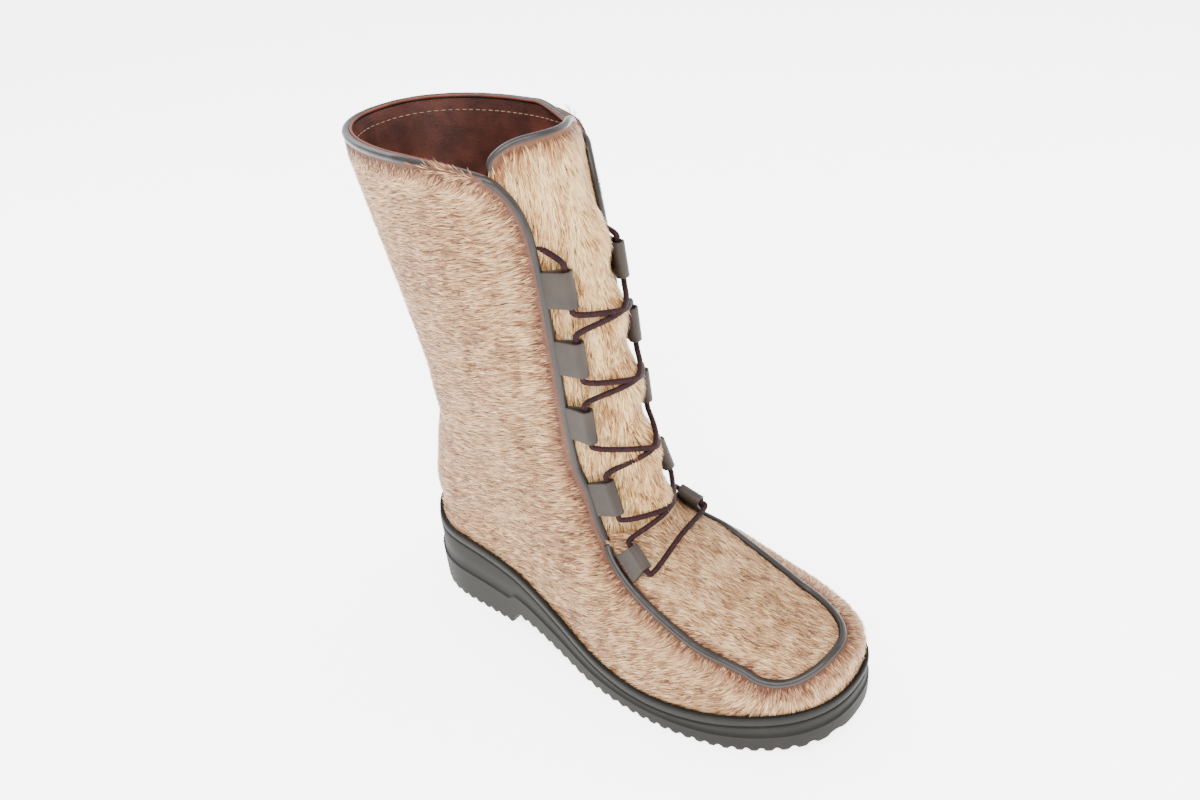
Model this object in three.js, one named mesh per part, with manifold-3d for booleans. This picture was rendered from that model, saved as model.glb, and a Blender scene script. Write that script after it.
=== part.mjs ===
// A laced winter boot in hair-on hide, for the right foot, built from the outline of its last.
// Millimetres, +Z up. The origin is on the floor under the heel; the toe points along -Y and the
// outer side of the foot is -X.
import * as THREE from 'three'
import { mergeVertices } from 'three/addons/utils/BufferGeometryUtils.js'
import Module from 'manifold-3d'

const wasm = await Module()
wasm.setup()

// Driving sizes of the last and the sole
const soleLength = 288
const ballWidth = 109
const heelHeight = 48
const instepHeight = 72
const shaftHeight = 242
const heelCentre = 36
const toeSpring = 7
const archRise = 9
const soleRim = 3.5

// Thicknesses and clearances
const wall = 3
const insoleThickness = 3
const insoleRoom = 2.8
const tongueWall = 3.5
const seat = 0.35

// Tread and side of the sole
const lugPitch = 7
const lugGap = 3
const treadDepth = 2
const lipHeight = 2.5
const heelLip = 6
const heelDraft = 3
const grooveDepth = 1
const grooveWidth = 1.6
const grooveDrop = 6
const stepDepth = 1

// Throat, tongue, piping, loops and lace
const throatHalf = 26.5
const throatFootHalf = 30
const throatCorner = 8
const throatFoot = 79
const collarFlare = 24
const plugReach = 0.963
const collarRound = 42
const tongueLap = 5
const tongueProud = 8
const tongueCorner = 15
const tongueBulge = 12
const tonguePuff = 0.2
const tongueCrown = 3
const tongueTuck = 13
const pipingRadius = 2.1
const pipingProud = 0.5
const loopPitch = 39.5
const loopWidth = 19
const loopReach = 13.5
const loopLift = Math.PI / 8.5
const loopLeather = 2.4
const cornerLoop = { along: 0.57, width: 14, base: 17, reach: 14.5, set: 2.8 }
const laceRadius = 1.5
const laceRoom = 0.8
const laceClear = 1.8
const laceTurn = 3.2

// Outline of the sole in plan: place along it as shares of its length, widths of the ball's width
const soleOutline = [
  { along: 0.0, centre: 0.0, half: 0.345 },
  { along: 0.15, centre: -0.01, half: 0.355 },
  { along: 0.3, centre: -0.028, half: 0.36 },
  { along: 0.42, centre: -0.05, half: 0.388 },
  { along: 0.55, centre: -0.055, half: 0.451 },
  { along: 0.66, centre: -0.04, half: 0.49 },
  { along: 0.78, centre: -0.02, half: 0.488 },
  { along: 0.9, centre: 0.015, half: 0.487 },
  { along: 1.0, centre: 0.037, half: 0.5 },
]
const heelRound = { reach: 0.15, power: 2.3 }
const toeRound = { reach: 0.3, power: 2.3 }

// Height of the sole's top, as shares of its length and of the heel's height
const seatLine = [
  { along: 0.0, up: 1.02 },
  { along: 0.08, up: 1.0 },
  { along: 0.16, up: 0.98 },
  { along: 0.25, up: 0.92 },
  { along: 0.33, up: 0.82 },
  { along: 0.41, up: 0.66 },
  { along: 0.49, up: 0.49 },
  { along: 0.57, up: 0.37 },
  { along: 0.66, up: 0.33 },
  { along: 0.75, up: 0.36 },
  { along: 0.84, up: 0.43 },
  { along: 0.92, up: 0.51 },
  { along: 1.0, up: 0.61 },
]

// Ridge of the foot above the sole's top, and how far it leans to the inner side
const ridgeLine = [
  { along: 0.0, rise: 0.15, lean: 0.0 },
  { along: 0.15, rise: 0.22, lean: 0.0 },
  { along: 0.27, rise: 0.55, lean: 0.0 },
  { along: 0.37, rise: 1.0, lean: 0.01 },
  { along: 0.46, rise: 1.17, lean: 0.02 },
  { along: 0.52, rise: 1.07, lean: 0.04 },
  { along: 0.56, rise: 0.99, lean: 0.05 },
  { along: 0.6, rise: 0.93, lean: 0.06 },
  { along: 0.66, rise: 0.86, lean: 0.08 },
  { along: 0.74, rise: 0.72, lean: 0.08 },
  { along: 0.82, rise: 0.59, lean: 0.06 },
  { along: 0.88, rise: 0.49, lean: 0.04 },
  { along: 0.94, rise: 0.4, lean: 0.02 },
  { along: 1.0, rise: 0.34, lean: 0.0 },
]
const toeTop = { reach: 0.06, power: 2.4 }
const footPower = 2.3

// Level sections of the leg: height as shares of the shaft's above the heel, front and back as
// shares of the sole's length, widths as shares of the ball's width
const legSections = [
  { up: 0.0, back: 0.0245, front: 0.4, half: 0.303, heel: 0.15, toe: 0.3 },
  { up: 0.045, back: 0.0245, front: 0.45, half: 0.305, heel: 0.155, toe: 0.29 },
  { up: 0.12, back: 0.022, front: 0.51, half: 0.318, heel: 0.16, toe: 0.28 },
  { up: 0.22, back: 0.04, front: 0.56, half: 0.32, heel: 0.18, toe: 0.28 },
  { up: 0.34, back: 0.06, front: 0.535, half: 0.328, heel: 0.2, toe: 0.26 },
  { up: 0.46, back: 0.058, front: 0.514, half: 0.348, heel: 0.22, toe: 0.25 },
  { up: 0.63, back: 0.036, front: 0.491, half: 0.385, heel: 0.24, toe: 0.24 },
  { up: 0.82, back: 0.008, front: 0.464, half: 0.425, heel: 0.25, toe: 0.22 },
  { up: 1.0, back: -0.016, front: 0.434, half: 0.46, heel: 0.25, toe: 0.22 },
  { up: 1.1, back: -0.028, front: 0.42, half: 0.475, heel: 0.25, toe: 0.22 },
]
const legPower = 2.2

// Slices through the upper, from the collar down and round to the toe: middle of each slice, and
// the share of a quarter turn that it has tilted
const slices = [
  { along: 0.2, up: 1.09, tilt: 0.0 },
  { along: 0.21, up: 0.85, tilt: 0.0 },
  { along: 0.23, up: 0.6, tilt: 0.02 },
  { along: 0.25, up: 0.38, tilt: 0.09 },
  { along: 0.3, up: 0.21, tilt: 0.2 },
  { along: 0.36, up: 0.09, tilt: 0.29 },
  { along: 0.45, up: 0.02, tilt: 0.46 },
  { along: 0.54, up: -0.03, tilt: 0.66 },
  { along: 0.64, up: -0.05, tilt: 0.83 },
  { along: 0.75, up: -0.05, tilt: 0.92 },
  { along: 0.86, up: -0.05, tilt: 0.97 },
  { along: 0.94, up: -0.04, tilt: 1.0 },
  { along: 0.982, up: -0.04, tilt: 1.0 },
]
const sliceCount = 25
const raysPerSlice = 32
const frontShares = [0.7, 0.35]
const instepFillet = 16
const seatOverlap = 16
const footMiddle = 0.42
const foldShare = 0.1

// Half widths of the plug over the toes, measured across from the boot's middle line
const plugSeam = [
  { along: 0.53, outer: 0.28, inner: 0.265 },
  { along: 0.6, outer: 0.325, inner: 0.275 },
  { along: 0.68, outer: 0.347, inner: 0.265 },
  { along: 0.76, outer: 0.351, inner: 0.245 },
  { along: 0.84, outer: 0.325, inner: 0.21 },
]

// Heights of the four lace loops on the facings, as shares of the shaft's height above the heel
const loopRows = [{ up: 0.252 }, { up: 0.437 }, { up: 0.593 }, { up: 0.742 }]

// Colours of the pieces
const finish = {
  hide: { color: '#b79c80', roughness: 0.9 },
  tongueHide: { color: '#c9ae88', roughness: 0.9 },
  rubber: { color: '#3c3a35', roughness: 0.8 },
  piping: { color: '#5f564f', roughness: 0.4 },
  tab: { color: '#665c55', roughness: 0.5 },
  lace: { color: '#3e2427', roughness: 0.8 },
  insole: { color: '#5a5146', roughness: 0.9 },
}

// Plain sums
const yAt = (along) => heelCentre - along * soleLength
const alongAt = (y) => (heelCentre - y) / soleLength
const clamp = (value, low, high) => Math.min(high, Math.max(low, value))
const ramp = (value, low, high) => THREE.MathUtils.smoothstep(value, low, high)
const vec = (x, y, z) => new THREE.Vector3(x, y, z)

// Smooth value of one column of a table, at a place given in the table's first column
function read(rows, key, column, at) {
  const last = rows.length - 1
  const place = clamp(at, rows[0][key], rows[last][key])
  let i = 0
  while (i < last - 1 && rows[i + 1][key] < place) i += 1
  const slope = (j) => {
    const a = rows[Math.max(0, j - 1)]
    const b = rows[Math.min(last, j + 1)]
    return (b[column] - a[column]) / (b[key] - a[key])
  }
  const span = rows[i + 1][key] - rows[i][key]
  const s = (place - rows[i][key]) / span
  const level = rows[i][column] * (1 + 2 * s) * (1 - s) ** 2 + rows[i + 1][column] * (3 - 2 * s) * s * s
  return level + span * (slope(i) * s * (1 - s) ** 2 - slope(i + 1) * (1 - s) * s * s)
}

// A geometry from rings of points, closed at both ends by a fan or, where a ring lies mirrored
// about its middle line, by a ladder across it
function loft(rings, ladder, shift = 0) {
  const size = rings[0].length
  const points = rings.flat()
  const index = []
  for (let i = 0; i < rings.length - 1; i += 1) {
    for (let j = 0; j < size; j += 1) {
      const a = i * size + j
      const b = i * size + ((j + 1) % size)
      index.push(a, b, a + size, b, b + size, a + size)
    }
  }
  const top = (rings.length - 1) * size
  const cap = (base, flip) => {
    const add = (a, b, c) => (flip ? index.push(a, c, b) : index.push(a, b, c))
    if (ladder) {
      for (let j = 0; j < size / 2 - shift; j += 1) {
        const right = base + ((size - shift - j) % size)
        const nextRight = base + (size - shift - j - 1)
        add(base + j, base + j + 1, right)
        add(base + j + 1, nextRight, right)
      }
      return
    }
    const middle = points.length
    const centre = vec(0, 0, 0)
    for (let j = 0; j < size; j += 1) centre.add(points[base + j])
    points.push(centre.divideScalar(size))
    for (let j = 0; j < size; j += 1) add(middle, base + j, base + ((j + 1) % size))
  }
  cap(0, true)
  cap(top, false)
  const geometry = new THREE.BufferGeometry().setFromPoints(points)
  geometry.setIndex(index)
  return geometry
}

// Solids: joins, cuts and the way back to a geometry
function solid(geometry) {
  const plain = geometry.clone()
  plain.deleteAttribute('normal')
  plain.deleteAttribute('uv')
  const merged = mergeVertices(plain, 1e-4)
  const triVerts = []
  const index = merged.index.array
  for (let i = 0; i < index.length; i += 3) {
    const [a, b, c] = [index[i], index[i + 1], index[i + 2]]
    if (a !== b && b !== c && c !== a) triVerts.push(a, b, c)
  }
  const vertProperties = new Float32Array(merged.attributes.position.array)
  const close = () => new wasm.Manifold(
    new wasm.Mesh({ numProp: 3, vertProperties, triVerts: new Uint32Array(triVerts) }),
  )
  const made = close()
  if (made.volume() > 0) return made
  for (let i = 0; i < triVerts.length; i += 3) {
    const kept = triVerts[i + 1]
    triVerts[i + 1] = triVerts[i + 2]
    triVerts[i + 2] = kept
  }
  return close()
}

function geometryOf(made) {
  const mesh = made.getMesh()
  const geometry = new THREE.BufferGeometry()
  geometry.setAttribute('position', new THREE.BufferAttribute(new Float32Array(mesh.vertProperties), 3))
  geometry.setIndex(Array.from(mesh.triVerts))
  geometry.computeVertexNormals()
  return geometry
}

// A round tube through points
function tube(points, radius, steps, sides) {
  const path = new THREE.CatmullRomCurve3(points, false, 'centripetal')
  const section = new THREE.Shape()
  for (let i = 0; i < sides; i += 1) {
    const turn = (i / sides) * Math.PI * 2
    if (i === 0) section.moveTo(radius * Math.cos(turn), radius * Math.sin(turn))
    else section.lineTo(radius * Math.cos(turn), radius * Math.sin(turn))
  }
  section.closePath()
  return new THREE.ExtrudeGeometry(section, { steps, extrudePath: path, bevelEnabled: false })
}

// The sole's outline, drawn in by an inset
function footprint(y, inset) {
  const along = clamp((heelCentre - inset - y) / (soleLength - 2 * inset), 0, 1)
  const heel = Math.max(0, 1 - along / heelRound.reach) ** heelRound.power
  const toe = Math.max(0, 1 - (1 - along) / toeRound.reach) ** toeRound.power
  const round = (1 - heel) ** (1 / heelRound.power) * (1 - toe) ** (1 / toeRound.power)
  const half = (read(soleOutline, 'along', 'half', along) * ballWidth - inset) * round
  return { centre: read(soleOutline, 'along', 'centre', along) * ballWidth, half }
}

const seatHeight = (y) => read(seatLine, 'along', 'up', alongAt(y)) * heelHeight
const heelCup = (y) => heelLip * (1 - ramp(alongAt(y), 0.0, 0.09))

// Underside of the sole: flat heel, arch, flat forefoot and toe spring
function treadHeight(y) {
  const along = alongAt(y)
  const arch = archRise * ramp(along, 0.275, 0.3) * (1 - ramp(along, 0.3, 0.55))
  const toe = toeSpring * clamp((along - 0.8) / 0.2, 0, 1) ** 2
  return arch + toe
}

// A ring of the outline at an inset, with its height from a function of y
const stations = 30
function outlineRing(inset, height, draft = 0) {
  const ring = []
  for (let i = 0; i < 2 * stations; i += 1) {
    const step = i <= stations ? i : 2 * stations - i
    const along = (1 - Math.cos((Math.PI * step) / stations)) / 2
    const y = heelCentre - inset - along * (soleLength - 2 * inset)
    const { centre, half } = footprint(y, inset)
    const back = y - draft * (1 - ramp(along, 0.02, 0.2))
    ring.push(vec(centre + (i <= stations ? -half : half), back, height(back)))
  }
  return ring
}

function makeOutsole() {
  const low = (y) => treadHeight(y)
  const lip = (y) => seatHeight(y) + lipHeight + heelCup(y)
  const middle = (y) => low(y) + 0.45 * (lip(y) - low(y))
  const rings = [
    outlineRing(0.6, low),
    outlineRing(0, (y) => low(y) + 1),
    outlineRing(0, middle),
    outlineRing(stepDepth, (y) => middle(y) + stepDepth),
    outlineRing(stepDepth * 0.7, (y) => lip(y) - grooveDrop - grooveWidth / 2, heelDraft * 0.5),
    outlineRing(stepDepth * 0.7 + grooveDepth, (y) => lip(y) - grooveDrop, heelDraft * 0.6),
    outlineRing(stepDepth * 0.7, (y) => lip(y) - grooveDrop + grooveWidth / 2, heelDraft * 0.7),
    outlineRing(0.4, (y) => lip(y) - 1.2, heelDraft),
    outlineRing(1, lip, heelDraft),
    outlineRing(soleRim - 0.6, lip, heelDraft),
    outlineRing(soleRim, seatHeight, heelDraft),
  ]
  let made = solid(loft(rings, true))
  const first = Math.floor((yAt(1) - heelCentre) / lugPitch)
  for (let i = first; i <= heelCentre / lugPitch; i += 1) {
    const y = (i + 0.5) * lugPitch
    const cut = new THREE.BoxGeometry(ballWidth * 1.4, lugGap, treadDepth * 2)
    cut.rotateX(Math.atan((treadHeight(y + 1) - treadHeight(y - 1)) / 2))
    cut.translate(0, y, treadHeight(y))
    made = made.subtract(solid(cut))
  }
  return geometryOf(made)
}

function makeInsole() {
  const inset = soleRim + seat + wall + insoleRoom
  const under = outlineRing(inset, (y) => seatHeight(y) + seat, heelDraft)
  const over = outlineRing(inset + 0.5, (y) => seatHeight(y) + seat + insoleThickness, heelDraft)
  return geometryOf(solid(loft([under, over], true)))
}

// The form of the last: a foot and a leg, blended at the instep. Below zero is inside
const rimInset = soleRim + 2 * seat

function footDepth(x, y, z) {
  const { centre, half } = footprint(y + heelDraft * (1 - ramp(alongAt(y), 0.02, 0.2)), rimInset)
  if (half < 0.01) return ballWidth
  const along = alongAt(y)
  const fold = foldShare * instepHeight
  const base = seatHeight(y) + fold
  const end = clamp((along - (1 - toeTop.reach)) / toeTop.reach, 0, 0.999)
  const blunt = (1 - end ** toeTop.power) ** (1 / toeTop.power)
  const rise = (read(ridgeLine, 'along', 'rise', along) - foldShare) * instepHeight * blunt
  const lift = Math.max(0, z - base) / Math.max(1, rise)
  const lean = read(ridgeLine, 'along', 'lean', along) * ballWidth * Math.min(1, lift)
  const across = Math.abs(x - centre - lean) / half
  const span = Math.min(half, rise + fold)
  return ((across ** footPower + lift ** footPower) ** (1 / footPower) - 1) * span
}

function legDepth(x, y, z) {
  const up = (z - heelHeight) / shaftHeight
  const at = (column) => read(legSections, 'up', column, up)
  const half = at('half') * ballWidth
  const back = yAt(at('back'))
  const front = yAt(at('front'))
  const heelReach = at('heel') * soleLength
  const toeReach = at('toe') * soleLength
  const rear = Math.max(0, (y - back + heelReach) / heelReach)
  const fore = Math.max(0, (front + toeReach - y) / toeReach)
  const across = Math.abs(x) / half
  return ((across ** legPower + Math.max(rear, fore) ** legPower) ** (1 / legPower) - 1) * half
}

function lastDepth(x, y, z) {
  const foot = footDepth(x, y, z)
  const leg = legDepth(x, y, z)
  const fillet = 0.5 + instepFillet * ramp(alongAt(y), 0.22, 0.42)
  const mix = clamp(0.5 + (0.5 * (leg - foot)) / fillet, 0, 1)
  const blended = leg + (foot - leg) * mix - fillet * mix * (1 - mix)
  return Math.max(blended, seatHeight(y) - seatOverlap - z)
}

// A point of the upper: t runs from the collar (0) to the toe (1), a turns round the slice
// (a quarter turn points to the front or the top), depth goes in from the outer face
function sliceFrame(t) {
  const place = t * (slices.length - 1)
  const rows = slices.map((row, n) => ({ n, ...row }))
  const at = (column) => read(rows, 'n', column, place)
  const y = yAt(at('along'))
  const floor = heelHeight + (seatHeight(y) - heelHeight) * ramp(place, 4, 8)
  const foot = ramp(place, 5, 9)
  const tilt = at('tilt') * (Math.PI / 2)
  const z = floor + at('up') * shaftHeight + foot * footMiddle * instepHeight
  return {
    middle: vec(footprint(y, 0).centre * ramp(place, 4, 8), y, z),
    ahead: vec(0, -Math.cos(tilt), Math.sin(tilt)),
  }
}

function slopeAt(p) {
  const step = 0.2
  const dx = lastDepth(p.x + step, p.y, p.z) - lastDepth(p.x - step, p.y, p.z)
  const dy = lastDepth(p.x, p.y + step, p.z) - lastDepth(p.x, p.y - step, p.z)
  const dz = lastDepth(p.x, p.y, p.z + step) - lastDepth(p.x, p.y, p.z - step)
  return vec(dx, dy, dz).normalize()
}

function skin(t, a, depth) {
  const { middle, ahead } = sliceFrame(t)
  const ray = ahead.clone().multiplyScalar(Math.sin(a)).add(vec(Math.cos(a), 0, 0))
  let near = 0
  let far = 4
  const point = (r) => middle.clone().addScaledVector(ray, r)
  const inside = (r) => {
    const p = point(r)
    return lastDepth(p.x, p.y, p.z) < 0
  }
  while (far < soleLength && inside(far)) {
    near = far
    far += 4
  }
  for (let i = 0; i < 16; i += 1) {
    const mid = (near + far) / 2
    if (inside(mid)) near = mid
    else far = mid
  }
  const surface = point(near)
  return depth === 0 ? surface : surface.addScaledVector(slopeAt(surface), -depth)
}

// Rings of the last from the collar to the toe, closed by smaller rings on the front of the toe
function hull(depth) {
  const rings = []
  const angles = Array.from({ length: raysPerSlice }, (_, j) => (j / raysPerSlice) * Math.PI * 2)
  for (let i = 0; i <= sliceCount; i += 1) rings.push(angles.map((a) => skin(i / sliceCount, a, depth)))
  const { middle } = sliceFrame(1)
  const rim = angles.map((a) => skin(1, a, 0))
  for (const share of frontShares) {
    rings.push(rim.map((p) => cast(middle.clone().lerp(p, share), vec(0, -1, 0), soleLength, depth)))
  }
  return rings
}

const root = new THREE.Group()
function add(name, geometry, look) {
  const mesh = new THREE.Mesh(geometry, new THREE.MeshStandardMaterial(look))
  mesh.name = name
  root.add(mesh)
}

// Places on the last found by a straight line: from the front, from above and from the side
const collarHeight = heelHeight + shaftHeight
const legMiddle = yAt(0.22)

function cast(from, direction, reach, depth) {
  const inside = (r) => {
    const p = from.clone().addScaledVector(direction, r)
    return lastDepth(p.x, p.y, p.z) < 0
  }
  let near = 0
  let far = 2
  while (far < reach && inside(far)) {
    near = far
    far += 2
  }
  for (let i = 0; i < 14; i += 1) {
    const mid = (near + far) / 2
    if (inside(mid)) near = mid
    else far = mid
  }
  const surface = from.clone().addScaledVector(direction, near)
  return surface.addScaledVector(slopeAt(surface), -depth)
}

const fromFront = (x, z, depth) => cast(vec(x, legMiddle, z), vec(0, -1, 0), soleLength, depth)
const fromAbove = (x, y, depth) => cast(vec(x, y, seatHeight(y) + 4), vec(0, 0, 1), soleLength, depth)

// Half width of the throat at a height: straight up the facings, then rounded out to the collar
function throatEdge(z) {
  const up = clamp((z - collarHeight + collarRound) / collarRound, 0, 1)
  const side = throatFootHalf + (throatHalf - throatFootHalf) * ramp(z, throatFoot, throatFoot + loopPitch)
  return side + collarFlare * (1 - Math.sqrt(1 - up ** 2.4))
}

// Heights at which the throat's sides are drawn: even up the facings, closer round the collar
function throatHeights() {
  const low = throatFoot + throatCorner
  const bend = collarHeight - collarRound
  const heights = []
  for (let i = 0; i < 12; i += 1) heights.push(low + ((bend - low) * i) / 12)
  for (let i = 0; i <= 10; i += 1) heights.push(bend + (collarRound * i) / 10)
  return heights
}

// Cutting forms of the upper
function sideways(shape, width) {
  const geometry = new THREE.ExtrudeGeometry(shape, { depth: width, bevelEnabled: false })
  geometry.applyMatrix4(new THREE.Matrix4().makeBasis(vec(0, 1, 0), vec(0, 0, 1), vec(1, 0, 0)))
  return solid(geometry.translate(-width / 2, 0, 0))
}

function underSeat() {
  const shape = new THREE.Shape()
  const line = outlineRing(soleRim, (y) => seatHeight(y) + seat, heelDraft).slice(0, stations + 1)
  shape.moveTo(yAt(1.1), -heelHeight)
  shape.lineTo(yAt(-0.1), -heelHeight)
  shape.lineTo(yAt(-0.1), line[0].z)
  for (const p of line) shape.lineTo(p.y, p.z)
  shape.lineTo(yAt(1.1), line[stations].z)
  shape.closePath()
  return sideways(shape, ballWidth * 2)
}

function throat() {
  const shape = new THREE.Shape()
  const heights = throatHeights()
  const corner = throatFootHalf - throatCorner
  shape.moveTo(-corner, throatFoot)
  shape.lineTo(corner, throatFoot)
  shape.quadraticCurveTo(throatFootHalf, throatFoot, throatEdge(heights[0]), heights[0])
  for (const z of heights) shape.lineTo(throatEdge(z), z)
  shape.lineTo(throatEdge(collarHeight), collarHeight + 60)
  shape.lineTo(-throatEdge(collarHeight), collarHeight + 60)
  for (const z of heights.slice().reverse()) shape.lineTo(-throatEdge(z), z)
  shape.quadraticCurveTo(-throatFootHalf, throatFoot, -corner, throatFoot)
  shape.closePath()
  const long = { depth: soleLength, bevelEnabled: false, curveSegments: 5 }
  const geometry = new THREE.ExtrudeGeometry(shape, long)
  geometry.applyMatrix4(new THREE.Matrix4().makeBasis(vec(1, 0, 0), vec(0, 0, 1), vec(0, -1, 0)))
  return solid(geometry.translate(0, legMiddle, 0))
}

function aboveCollar() {
  const block = new THREE.BoxGeometry(soleLength, soleLength, 100)
  return solid(block.translate(0, legMiddle, collarHeight + 50))
}

// Route of the piping round the collar and down both facings, on the middle of the wall
function edgeRoute() {
  const heights = throatHeights().slice(0, -2)
  const facing = (side) => heights.map((z) => fromFront(side * throatEdge(z), z, wall / 2))
  const round = []
  for (let i = -9; i <= 9; i += 1) {
    const turn = (i / 9) * 1.7
    const from = vec(0, legMiddle, collarHeight)
    round.push(cast(from, vec(Math.sin(turn), Math.cos(turn), 0), soleLength, wall / 2))
  }
  return [...facing(-1), ...round, ...facing(1).reverse()]
}

// The plug's seam round the toes, just proud of the hide, from one foot of the throat to the other
const plugHalf = (along, column) => read(plugSeam, 'along', column, along) * ballWidth

function plugRoute(edge) {
  const points = []
  const front = plugSeam[plugSeam.length - 1].along
  const reach = plugReach - front
  const start = alongAt(edge[0].y) + 0.02
  for (let i = 0; i <= 7; i += 1) {
    const along = start + ((front - start) * i) / 8
    points.push([-plugHalf(along, 'outer'), along])
  }
  for (let i = 0; i <= 12; i += 1) {
    const turn = (Math.PI * i) / 12
    const wide = plugHalf(front, i < 6 ? 'outer' : 'inner')
    points.push([-Math.cos(turn) * wide, front + reach * Math.sin(turn)])
  }
  for (let i = 7; i >= 0; i -= 1) {
    const along = start + ((front - start) * i) / 8
    points.push([plugHalf(along, 'inner'), along])
  }
  const route = points.map(([x, along]) => fromAbove(x, yAt(along), -pipingProud))
  const joint = (end, next) => end.clone().addScaledVector(next.clone().sub(end).normalize(), 5 * seat)
  return [joint(edge[0], route[0]), ...route, joint(edge[edge.length - 1], route[route.length - 1])]
}

// A route drawn out at both ends
function stretch(points, more) {
  const drawn = (end, next) => end.clone().addScaledVector(end.clone().sub(next).normalize(), more)
  const last = points.length - 1
  return [drawn(points[0], points[1]), ...points, drawn(points[last], points[last - 1])]
}

// The upper: one wall, open at the collar, down the throat and underneath, with channels for the
// piping along its edge and round the plug
function makeUpper(pipes) {
  const outer = solid(loft(hull(0), false))
  const cavity = solid(loft(hull(wall), false))
  const open = outer.subtract(cavity).subtract(underSeat()).subtract(throat()).subtract(aboveCollar())
  return geometryOf(pipes.reduce((made, pipe) => made.subtract(solid(pipe)), open))
}

// Tongue: a half round sheet that lies behind the facings and swells out between them
const tongueDepth = wall / 2 + pipingRadius + 2 * seat

function frontAngle(t, x, depth) {
  let low = 0.02
  let high = Math.PI / 2
  for (let i = 0; i < 14; i += 1) {
    const mid = (low + high) / 2
    if (skin(t, mid, depth).x > Math.abs(x)) low = mid
    else high = mid
  }
  return x < 0 ? Math.PI - high : high
}

function turnWhere(above) {
  let low = 0
  let high = 0.8
  for (let i = 0; i < 14; i += 1) {
    const mid = (low + high) / 2
    if (above(skin(mid, Math.PI / 2, 0))) low = mid
    else high = mid
  }
  return high
}

function swell(x, z) {
  const half = throatEdge(Math.min(z, collarHeight - collarRound)) - pipingRadius - 2 * seat
  const across = clamp(1 - (x / half) ** 2, 0, 1)
  const rise = ramp(z, throatFoot - 2, throatFoot + 26)
  const head = 1 - 0.5 * ramp(z, collarHeight - 60, collarHeight)
  const firstRow = heelHeight + loopRows[0].up * shaftHeight
  const puff = 1 - tonguePuff * Math.cos(((z - firstRow) / loopPitch) * Math.PI * 2)
  return tongueBulge * across ** tongueCrown * rise * head * puff
}

function tonguePoint(share, t, depth) {
  const z = Math.min(skin(t, Math.PI / 2, 0).z, collarHeight - collarRound)
  const widest = skin(t, 0.1, tongueDepth).x
  const half = Math.min(throatEdge(z) + tongueLap, 0.95 * widest)
  const angle = frontAngle(t, half * share, tongueDepth)
  const seen = skin(t, angle, tongueDepth + depth)
  const out = skin(t, angle, tongueDepth + depth - 1).sub(seen)
  return seen.addScaledVector(out, swell(seen.x, seen.z))
}

function tongueGrid(depth) {
  const columns = 12
  const rows = 17
  const foot = turnWhere((p) => p.z > throatFoot)
  const tuck = skin(foot, Math.PI / 2, 0).y - tongueTuck
  const end = turnWhere((p) => p.y > tuck)
  const grid = []
  for (let i = 0; i <= rows; i += 1) {
    const row = []
    for (let j = 0; j <= columns; j += 1) {
      const share = (2 * j) / columns - 1
      const corner = tongueCorner * (1 - Math.sqrt(1 - 0.96 * share ** 4))
      const head = turnWhere((p) => p.z > collarHeight + tongueProud - corner)
      row.push(tonguePoint(share, head + ((end - head) * i) / rows, depth))
    }
    grid.push(row)
  }
  return grid
}

function makeTongue() {
  const face = tongueGrid(0)
  const lining = tongueGrid(tongueWall)
  const rings = face.map((row, i) => [...row, ...lining[i].slice().reverse()])
  return geometryOf(solid(loft(rings, true, 1)))
}

// Lace loops: a folded tab of leather sewn in beside the piping, whose free edge rolls into a tube
const boreRadius = laceRadius + laceRoom

function loopFrame(row, side) {
  const corner = row === 0
  const z = corner ? 0 : heelHeight + loopRows[row - 1].up * shaftHeight
  const at = (step, depth) => {
    if (!corner) return fromFront(side * throatEdge(z - step), z - step, depth)
    const along = cornerLoop.along + step / soleLength
    return fromAbove(side * plugHalf(along, side < 0 ? 'outer' : 'inner'), yAt(along), depth)
  }
  const depth = corner ? -pipingProud : wall / 2
  const base = at(0, depth)
  const run = at(-4, depth).sub(at(4, depth)).normalize()
  const out = slopeAt(at(0, 0))
  const inward = new THREE.Vector3().crossVectors(out, run).multiplyScalar(side).normalize()
  const ahead = inward.multiplyScalar(Math.cos(loopLift)).addScaledVector(out, Math.sin(loopLift)).normalize()
  const reach = corner ? cornerLoop.reach : loopReach
  const width = corner ? cornerLoop.width : loopWidth
  return { base, run, ahead, reach, width, foot: corner ? cornerLoop.base : loopWidth }
}

function makeLoop(row, side) {
  const { base, run, ahead, reach, width, foot } = loopFrame(row, side)
  const start = pipingRadius + 2 * seat + (row === 0 ? cornerLoop.set : 0)
  const shape = new THREE.Shape()
  shape.moveTo(start, -foot / 2)
  shape.lineTo(reach, -width / 2)
  shape.lineTo(reach, width / 2)
  shape.lineTo(start, foot / 2)
  shape.closePath()
  const tab = new THREE.ExtrudeGeometry(shape, { depth: loopLeather, bevelEnabled: false })
  tab.translate(0, 0, -loopLeather / 2)
  const rollRadius = boreRadius + loopLeather / 2
  const roll = new THREE.CylinderGeometry(rollRadius, rollRadius, width, 14)
  const bore = new THREE.CylinderGeometry(boreRadius, boreRadius, width * 2, 14)
  const made = solid(tab).add(solid(roll.translate(reach, 0, 0))).subtract(solid(bore.translate(reach, 0, 0)))
  const geometry = geometryOf(made)
  const third = new THREE.Vector3().crossVectors(ahead, run)
  geometry.applyMatrix4(new THREE.Matrix4().makeBasis(ahead, run, third).setPosition(base))
  return geometry
}

// Lace: a bar over the plug's edge, then a crossing from the top of each loop to the next one opposite
function tubeEnds(row, side) {
  const { base, run, ahead, reach, width } = loopFrame(row, side)
  const middle = base.clone().addScaledVector(ahead, reach)
  const end = width / 2 + laceTurn
  const at = (share) => middle.clone().addScaledVector(run, share * end)
  return { low: at(-1), through: [at(-1), at(-0.75), at(0), at(0.75), at(1)], high: at(1) }
}

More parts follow.
